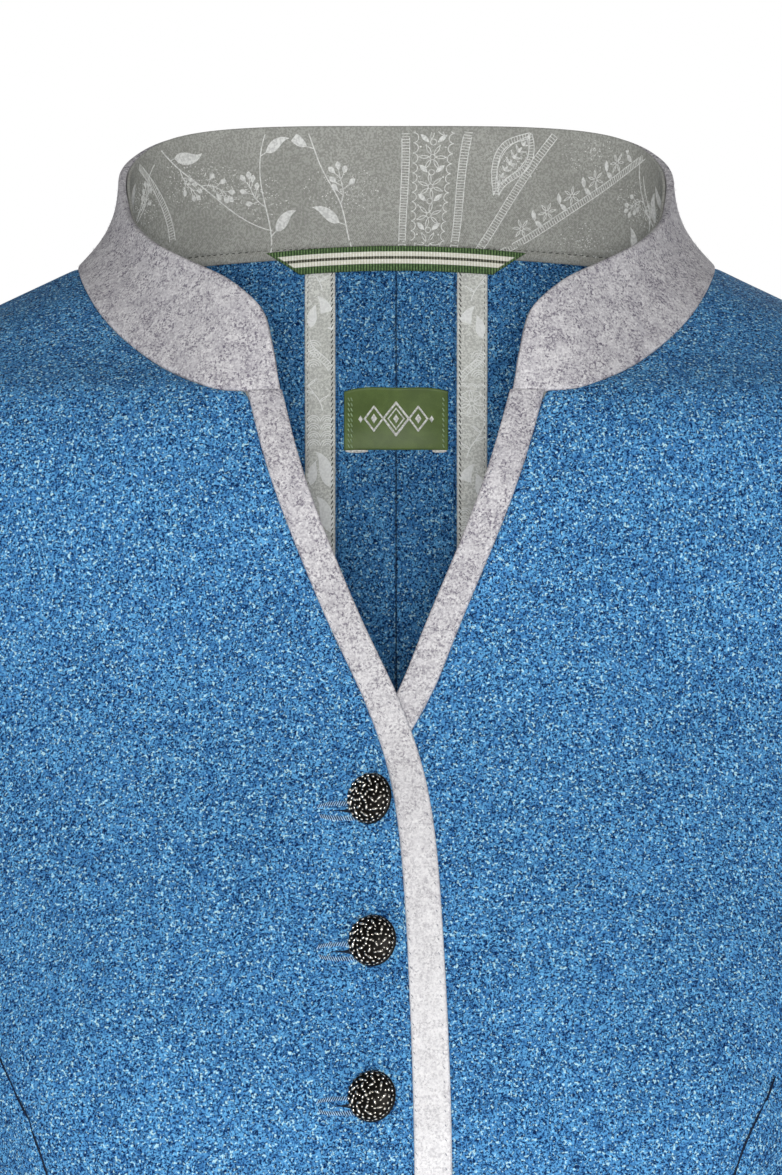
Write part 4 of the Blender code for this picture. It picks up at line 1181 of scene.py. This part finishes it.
def stitch_row(lines, sheet, ups, acrosses, length, gap, width, height, slant=0.0, inside=True, lift=0.0):
    """Straight stitches along a line on the cloth. The slant turns each one a little across that line."""
    ups, acrosses = (np.array(axis, float) for axis in np.broadcast_arrays(ups, acrosses))
    steps = np.hypot(np.diff(ups), np.diff(acrosses))
    run = np.concatenate(([0], np.cumsum(steps)))
    way = np.array((ups[-1] - ups[0], acrosses[-1] - acrosses[0])) / run[-1]
    starts = np.arange(0.2 * MM, run[-1] - length, length + gap)
    at = (starts[:, None] + length * np.array((0.0, 0.25, 0.75, 1.0))).ravel()
    lean = np.tile(np.array((-0.5, -0.25, 0.25, 0.5)) * slant, len(starts))
    point, _, _, outward = sheet.on_face(np.interp(at, run, ups) + lean * way[1],
                                         np.interp(at, run, acrosses) - lean * way[0], inside, lift)
    rise = np.tile(np.array((-0.8, 0.0, 0.0, -0.8)), len(starts))[:, None] * height
    for k in range(len(starts)):
        here = slice(4 * k, 4 * k + 4)
        lines.add((point + outward * rise)[here], outward[here], width, height, height, 0.45)


# Hanger loop and label

LOOP_TOP, LOOP_FOOT, LOOP_WIDTH, LOOP_RIB = 40.5 * MM, 30.0 * MM, 7.8 * MM, 0.90 * MM


def hanger_loop(material):
    """Ribbed tape laid across the back neck, its ends folded to slants."""
    lowest = sheets["collar_lining"].inner[0]
    lowest = lowest[lowest[:, 1] > 0]
    share = np.linspace(-1, 1, 361)[None, :]
    edge_steps = np.array((0.0, 0.12, 0.3, 0.6)) * MM
    height = stations(LOOP_WIDTH, 0.42 * MM, THIN_EDGE, THIN_EDGE, edge_steps)[:, None]
    x = share * (LOOP_FOOT + (LOOP_TOP - LOOP_FOOT) * height / LOOP_WIDTH)
    z = 9.6 * MM - LOOP_WIDTH + height - 2.6 * MM * (x / LOOP_TOP) ** 2
    y = np.interp(x, lowest[:, 0], lowest[:, 1]) - 0.6 * MM
    round_off = sunk(np.minimum(height, LOOP_WIDTH - height), Rim(0.42 * MM, 0, 1, 0)) + 0 * x
    round_off = np.maximum(round_off, sunk((1 - np.abs(share)) * LOOP_TOP, Rim(0.42 * MM, 0, 1, 0)))
    rib = 0.06 * MM * np.sin(math.tau * x / LOOP_RIB)
    groove = 0.14 * MM * np.exp(-((height - TAPE_EDGE - TAPE_STRIPE - TAPE_MIDDLE / 2) / (0.4 * MM)) ** 2)
    wave = 0.22 * MM * np.sin(x / (9.0 * MM) + 0.6) * np.sin(math.pi * height / LOOP_WIDTH)
    outer = np.stack((x, y - round_off - wave, z + 0 * x), axis=-1)
    inner = np.stack((x, y - 1.0 * MM + round_off - rib + groove - wave, z + 0 * x), axis=-1)
    name = "striped_hanger_loop"
    tape = smooth_mesh(name, cloth_mesh(name, outer, inner, x, height + 0 * x), material)
    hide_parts("hanger_loop")


LABEL_WIDTH, LABEL_HEIGHT = 33 * MM, 19 * MM


def label_bend(across, up):
    """The label stands off the cloth along its lower edge, and waves a little along its upper one."""
    share = np.clip(across / LABEL_WIDTH, 0.02, 0.98)
    low = 1.0 * MM * np.exp(-(up / (5.0 * MM)) ** 2) * np.sin(math.pi * share) ** 0.6
    wave = 0.40 * MM * np.sin(across / (4.2 * MM) + 0.8)
    return low + wave * np.clip((up - 3 * MM) / (10 * MM), 0, 1)


def label_slide(across, up):
    """Its upper edge arches up between the sewn ends, and so does its lower one a little."""
    arch = 1 - np.abs(2 * across / LABEL_WIDTH - 1) ** 3.2
    ripple = 0.25 * MM * np.sin(across / (3.6 * MM)) * up / LABEL_HEIGHT
    return (0.35 * MM + 1.0 * MM * up / LABEL_HEIGHT) * arch + ripple


def label_trims(sheet, cream, green):
    """The label's plain woven lozenges, the stitches at its ends and the pale backing below its corners."""
    motif, width, tall = Lines(), sheet.across[-1], sheet.up[-1]

    def woven(line, thick):
        across, up = width / 2 + line[:, 0] * MM, tall / 2 + line[:, 1] * MM
        point, _, _, outward = sheet.on_face(up, across, True)
        point = point + outward * label_bend(across, up)[:, None]
        point[:, 2] += label_slide(across, up)
        motif.add(point, outward, thick * MM, 0.12 * MM, 0.05 * MM, 0.85)

    def lozenge(centre, reach, rise, thick):
        corners = np.array(((-reach, 0), (0, rise), (reach, 0), (0, -rise), (-reach, 0))) + (centre, 0)
        for first, last in zip(corners, corners[1:]):
            woven(first + (last - first) * np.linspace(-0.05, 1.05, 6)[:, None], np.full(6, thick))

    def filled(centre, reach, rise):
        widths = np.array((0.1, 0.67, 1.33, 2.0, 1.33, 0.67, 0.1)) * reach
        woven(np.array((centre, 0)) + np.linspace(-1, 1, 7)[:, None] * (0, rise), widths)

    for centre, reach, rise, thick in ((0, 4.0, 5.0, 0.75), (-7.0, 2.9, 3.7, 0.65), (7.0, 2.9, 3.7, 0.65)):
        lozenge(centre, reach, rise, thick)
    lozenge(0, 2.5, 3.2, 0.45)
    for centre, reach, rise in ((0, 1.0, 1.4), (-7.0, 1.1, 1.5), (7.0, 1.1, 1.5), (-11.2, 0.8, 1.1),
                                (11.2, 0.8, 1.1)):
        filled(centre, reach, rise)
    motif.finish("label_lozenges", cream, "green_satin")
    ends = Lines()
    for across in (1.5 * MM, 2.4 * MM, width - 1.5 * MM):
        ups = np.linspace(0.8 * MM, tall - 0.8 * MM, 9)
        stitch_row(ends, sheet, ups, across, 1.1 * MM, 0.6 * MM, 0.42 * MM, 0.25 * MM, 0.5 * MM, True,
                   0.45 * MM)
    ends.finish("label_stitches", green, "green_satin")
    backing = Lines()
    for first, last in ((0.5 * MM, 7.6 * MM), (width - 5.0 * MM, width - 0.5 * MM)):
        across = np.linspace(first, last, 8)
        point, _, _, outward = sheet.on_face(np.full(8, -0.15 * MM), across, True)
        widths = np.array((0.5, 1.0, 1.2, 1.3, 1.3, 1.2, 0.9, 0.4)) * MM
        backing.add(point, outward, widths, -0.1 * MM, 0.5 * MM, 0.9)
    backing.finish("label_backing", cream, "green_satin")


# Buttonholes and seam stitches

def buttonholes(slit_shade, stitches):
    """Worked buttonholes on the over front, each open a little beside its button's shank. The dark ribbons
    along each slit and between the pale stitches are painted shade.
    """
    front, dark, pale = sheets["front_right"], Lines(), Lines()
    for height in BUTTON_HEIGHTS:
        level = height - 2.1 * MM
        x = np.linspace(-18.6, -8.0, 12)
        # Painted shade: a dark ribbon along the slit, widest near the shank, stands for the shade in the
        # opening.
        point, _, _, outward = front.on_face(*front.find(x * MM, level), False)
        dark.add(point, outward, np.interp(x, (-18.6, -16.0, -14.3, -12.6), (0.12, 0.34, 0.90, 1.90)) * MM,
                 0.10 * MM, 0.3 * MM)
        for row, left in ((1, -22.4), (-1, -21.9)):
            for k, place in enumerate(np.arange(left, -10.6, 0.34)):
                spread = np.interp(place, (-22.4, -20.0, -17.0), (1.30, 1.90, 2.10))
                ends = np.array((-0.70, -0.25, 0.25, 0.70)) * (1.0 + 0.12 * math.sin(2.7 * k))
                up, across = front.find((place + 0.55 * row * ends) * MM, level + (row * spread + ends) * MM)
                point, _, _, outward = front.on_face(up, across, False)
                arch = outward * (np.array((-0.16, 0.0, 0.0, -0.16)) * MM)[:, None]
                # Every other stitch is dark: painted shade between the pale stitches.
                row_of, rise = (dark, 0.10) if k % 2 else (pale, 0.26)
                row_of.add(point + arch, outward, 0.29 * MM, rise * MM, 0.12 * MM, 0.5)
    dark.finish("buttonhole_painted_shade", slit_shade, "blue_wool")
    pale.finish("buttonhole_stitches", stitches, "blue_wool")


def seam_lines(shadow):
    """A dark ribbon deep in the groove between two wool panels: painted shade, standing for the shadow in the
    seam's crevice.
    """
    lines = Lines()
    for panel, *_ in WOOL_PANELS:
        for side in SIDES:
            sheet = sheets[f"{panel}_{side}"]
            up, across = np.linspace(0.8 * MM, sheet.up[-1], 90), np.linspace(0, sheet.across[-1], 50)
            near, far = (sheet.at(up, sheet.across[[k]]) for k in (0, -1))
            crown = sheet.at(sheet.up[[-1]], across)
            grooves = [(0, far)] if panel == "front" else [(0, near), (0, far), (0, crown)]
            for face, pair in grooves + ([(1, near)] if panel == "centre_back" else []):
                pair = [points.reshape(-1, 3) for points in pair]
                outward = (pair[0] - pair[1]) * (1, -1)[face]
                outward /= np.linalg.norm(outward, axis=1, keepdims=True)
                lift = (1, -1)[face] * lie(pair[0]) - (0.55, 0.85)[face] * MM
                point = pair[face] + outward * lift[:, None]
                # Painted shade: the ribbon fills the groove with the colour of its shadow.
                lines.add(point, outward, (0.60, 0.30)[face] * MM, 0.0, 0.25 * MM)
    lines.finish("seam_groove_shade", shadow, "blue_wool")


def fuzz(name, nodes, material, slot, count, seed):
    """Fine loose fibres that stand a little off the outer faces."""
    lines, chance = Lines(), np.random.default_rng(seed)
    sizes = np.array([sheets[node].up[-1] * sheets[node].across[-1] for node in nodes])
    for node, share in zip(nodes, sizes / sizes.sum()):
        sheet, number = sheets[node], max(round(count * share), 8)
        up = chance.uniform(0.4 * MM, sheet.up[-1] - 0.4 * MM, number)
        across = chance.uniform(0.2 * MM, sheet.across[-1] - 0.2 * MM, number)
        point, sideways, upward, outward = sheet.on_face(up, across, False)
        heading, length = chance.uniform(0, math.tau, number), chance.uniform(0.7, 1.7, number) * MM
        lift, curl = chance.uniform(0.12, 0.50, number) * MM, chance.uniform(-0.9, 0.9, number)
        for k in range(number):
            path = [point[k] - outward[k] * 0.1 * MM]
            for step, high in ((0.5, 0.75), (1.0, 1.0)):
                turn = heading[k] + curl[k] * step
                way = sideways[k] * math.cos(turn) + upward[k] * math.sin(turn)
                path.append(point[k] + way * length[k] * step + outward[k] * lift[k] * high)
            widths = np.array((0.07, 0.06, 0.02)) * MM
            lines.add(path, np.tile(outward[k], (3, 1)), widths, 0.02 * MM, 0.02 * MM, 0.6)
    lines.finish(name, material, slot)


def seam_stitches(dark, grey):
    """Dark stitches hold the bindings and the lining's foot, and grey ones run along the front edges."""
    trims = Lines()
    for side in SIDES:
        strip = sheets[f"seam_binding_{side}"]
        ups = np.linspace(0.5 * MM, strip.up[-1] - 0.5 * MM, 60)
        stitch_row(trims, strip, ups, 1.15 * MM, 1.25 * MM, 0.50 * MM, 0.50 * MM, 0.16 * MM, 0.60 * MM)
        stitch_row(trims, strip, ups, strip.across[-1] - 0.9 * MM, 0.9 * MM, 0.9 * MM, 0.26 * MM, 0.08 * MM,
                   0.2 * MM)
    lining = sheets["collar_lining"]
    acrosses = np.linspace(2 * MM, lining.across[-1] - 2 * MM, 120)
    stitch_row(trims, lining, LINING_GROOVE, acrosses, 1.3 * MM, 0.8 * MM, 0.55 * MM, 0.10 * MM, 0.3 * MM,
               True, -0.45 * MM)
    trims.finish("cotton_stitches", dark, "printed_cotton")
    edges = Lines()
    for side in SIDES:
        band = sheets[f"edge_band_{side}"]
        ups = np.linspace(1 * MM, band.up[-1] - 1 * MM, 120)
        for across in (0.9 * MM, band.across[-1] - 0.8 * MM):
            stitch_row(edges, band, ups, across, 0.7 * MM, 3.4 * MM, 0.24 * MM, 0.05 * MM, 0.4 * MM, False,
                       -0.02 * MM)
    edges.finish("edge_stitches", grey, "grey_felt")


LINING_GROOVE = 3.2 * MM


def lining_foot(across, up):
    """The lining's foot: a puckered groove under the stitches, over a softly rolled fold."""
    pucker = 0.5 + 0.5 * np.sin(across / (0.36 * MM) + 2.0 * np.sin(across / (3.1 * MM)))
    groove = (0.40 * MM + 0.25 * MM * pucker) * np.exp(-((up - LINING_GROOVE) / (0.50 * MM)) ** 2)
    ripple = 0.20 * MM * pucker * np.exp(-((up - LINING_GROOVE - 1.3 * MM) / (1.1 * MM)) ** 2)
    fold = 0.60 * MM * np.exp(-((up - 1.6 * MM) / (0.9 * MM)) ** 2)
    return 0.0 * up, ripple + fold - groove, 0.0


# The jacket

WOOL_PANELS = (
    ("front", 3.2, (0.19, 0.62), 0.0725, outwards_from_centre),
    ("side_front", 4.0, (0.16, 0.46), 0.0585, outwards_from_centre),
    ("centre_back", 4.0, (0.042, 0.62), 0.0152, outwards_from_centre),
    ("side_back", 4.0, (0.24, 0.62), 0.114, outwards_from_centre),
    ("upper_sleeve", 4.0, (0.34, 0.60), 0.135, backwards),
    ("under_sleeve", 4.0, (0.17, 0.46), 0.049, backwards),
)

place_camera()
studio()
wool, tape, satin = boiled_wool(), striped_tape(), green_satin()
# The bindings are the lining's cotton painted 2.10 times lighter: painted light, making up for the shade
# inside the back.
cotton, strip_cotton = sage_cotton("sage_cotton", 1.0), sage_cotton("sage_cotton_painted_lighter", 2.10)
felt = marled_felt()
sheets = {}
for side, sign in (("right", -1), ("left", 1)):
    arm = np.array((0.27 * sign, -0.01, -0.35))
    for name, *_, key in WOOL_PANELS:
        sheets[f"{name}_{side}"] = Sheet(f"{name}_{side}", key, arm if "sleeve" in name else None)
    sheets[f"front_{side}"], sheets[f"side_front_{side}"] = move_seam(
        sheets[f"front_{side}"], sheets[f"side_front_{side}"], SEAM_SHARE[side])
    for name, spacing, flat, area, _ in WOOL_PANELS:
        node = f"{name}_{side}"
        panel = Panel(node, f"wool_{node}", "blue_wool", TUCKED if name == "front" else SEWN, SEWN, LOOSE,
                      TUCKED, spacing * MM, flat, area)
        shell(panel, wool, sheets[node])
    node = f"edge_band_{side}"
    sheets[node] = Sheet(node, outwards_from_centre)
    shell(Panel(node, f"felt_band_{side}", "grey_felt", FELT_EDGE, FELT_SEAM, LOOSE, FELT_SEAM, 3.0 * MM,
                (0.010, 0.59), 0.0057), felt, sheets[node])
    node = f"seam_binding_{side}"
    sheets[node] = Sheet(node, outwards_from_centre)
    shell(Panel(node, f"cotton_binding_{side}", "printed_cotton", THIN_EDGE, THIN_EDGE, THIN_EDGE, THIN_EDGE,
                3.0 * MM, (0.010, 0.61), 0.0060), strip_cotton, sheets[node])
for node, cloth, slot, edge, foot, top, material, flat, area, relief, close in (
        ("collar", "felt_collar", "grey_felt", FELT_EDGE, FELT_SEAM, FELT_RIM, felt, (0.47, 0.046), 0.0146,
         None, None),
        ("collar_lining", "cotton_collar_lining", "printed_cotton", THIN_EDGE, THIN_EDGE, LINING_TOP, cotton,
         (0.45, 0.046), 0.0150, lining_foot, 1.0 * MM),
        ("label", "satin_label", "green_satin", THIN_EDGE, THIN_EDGE, THIN_EDGE, satin, (0.033, 0.0192),
         0.00063, lambda across, up: (label_bend(across, up), 0.0, label_slide(across, up)), 0.9 * MM)):
    sheets[node] = Sheet(node, rightwards)
    if node == "collar":
        inner = sheets[node].inner
        inner[-1, (0, -1), :] = 2 * inner[-2, (0, -1), :] - inner[-3, (0, -1), :]
    shell(Panel(node, cloth, slot, edge, edge, foot, top, 1.6 * MM, flat, area), material, sheets[node],
          RIM_STEPS if node != "collar_lining" else LINING_STEPS, relief, close)
# The bindings' ink is brighter than the lining's: partly the lining print's softer contrast, partly painted
# light against the shade inside the back.
ink, strip_ink = print_ink("pale_print", 0.58, 0.78), print_ink("white_print", 0.86, 0.98)
lining = sheets["collar_lining"]
printed("lining_print", lining, lining_design(), lining.across[-1] / 2, ink, 0.5 * MM)
for number, side in enumerate(SIDES):
    strip = sheets[f"seam_binding_{side}"]
    art = strip_design(strip.up[-1] / MM, 3 + number, STRIP_ORDERS[number])
    printed(f"binding_print_{side}", strip, art, 0.0, strip_ink, 0.3 * MM)
hanger_loop(tape)
label_trims(sheets["label"], thread("cream_thread", (0.95, 0.95, 0.90)),
            thread("green_thread", (0.52, 0.68, 0.42)))
buttonholes(thread("buttonhole_shadow", (0.006, 0.012, 0.028)),
            thread("pale_blue_thread", (0.45, 0.66, 0.90)))
seam_lines(thread("seam_shadow", (0.004, 0.014, 0.040)))
wool_nodes = [f"{name}_{side}" for name, *_ in WOOL_PANELS for side in SIDES]
fuzz("wool_fuzz", wool_nodes, thread("wool_fibre", (0.10, 0.28, 0.52)), "blue_wool", 2400, 5)
fuzz("felt_fuzz", ["collar", "edge_band_right", "edge_band_left"], thread("felt_fibre", (0.55, 0.54, 0.55)),
     "grey_felt", 1600, 6)
seam_stitches(thread("dark_thread", (0.085, 0.085, 0.078)), thread("grey_thread", (0.17, 0.19, 0.24)))
buttons(old_silver())
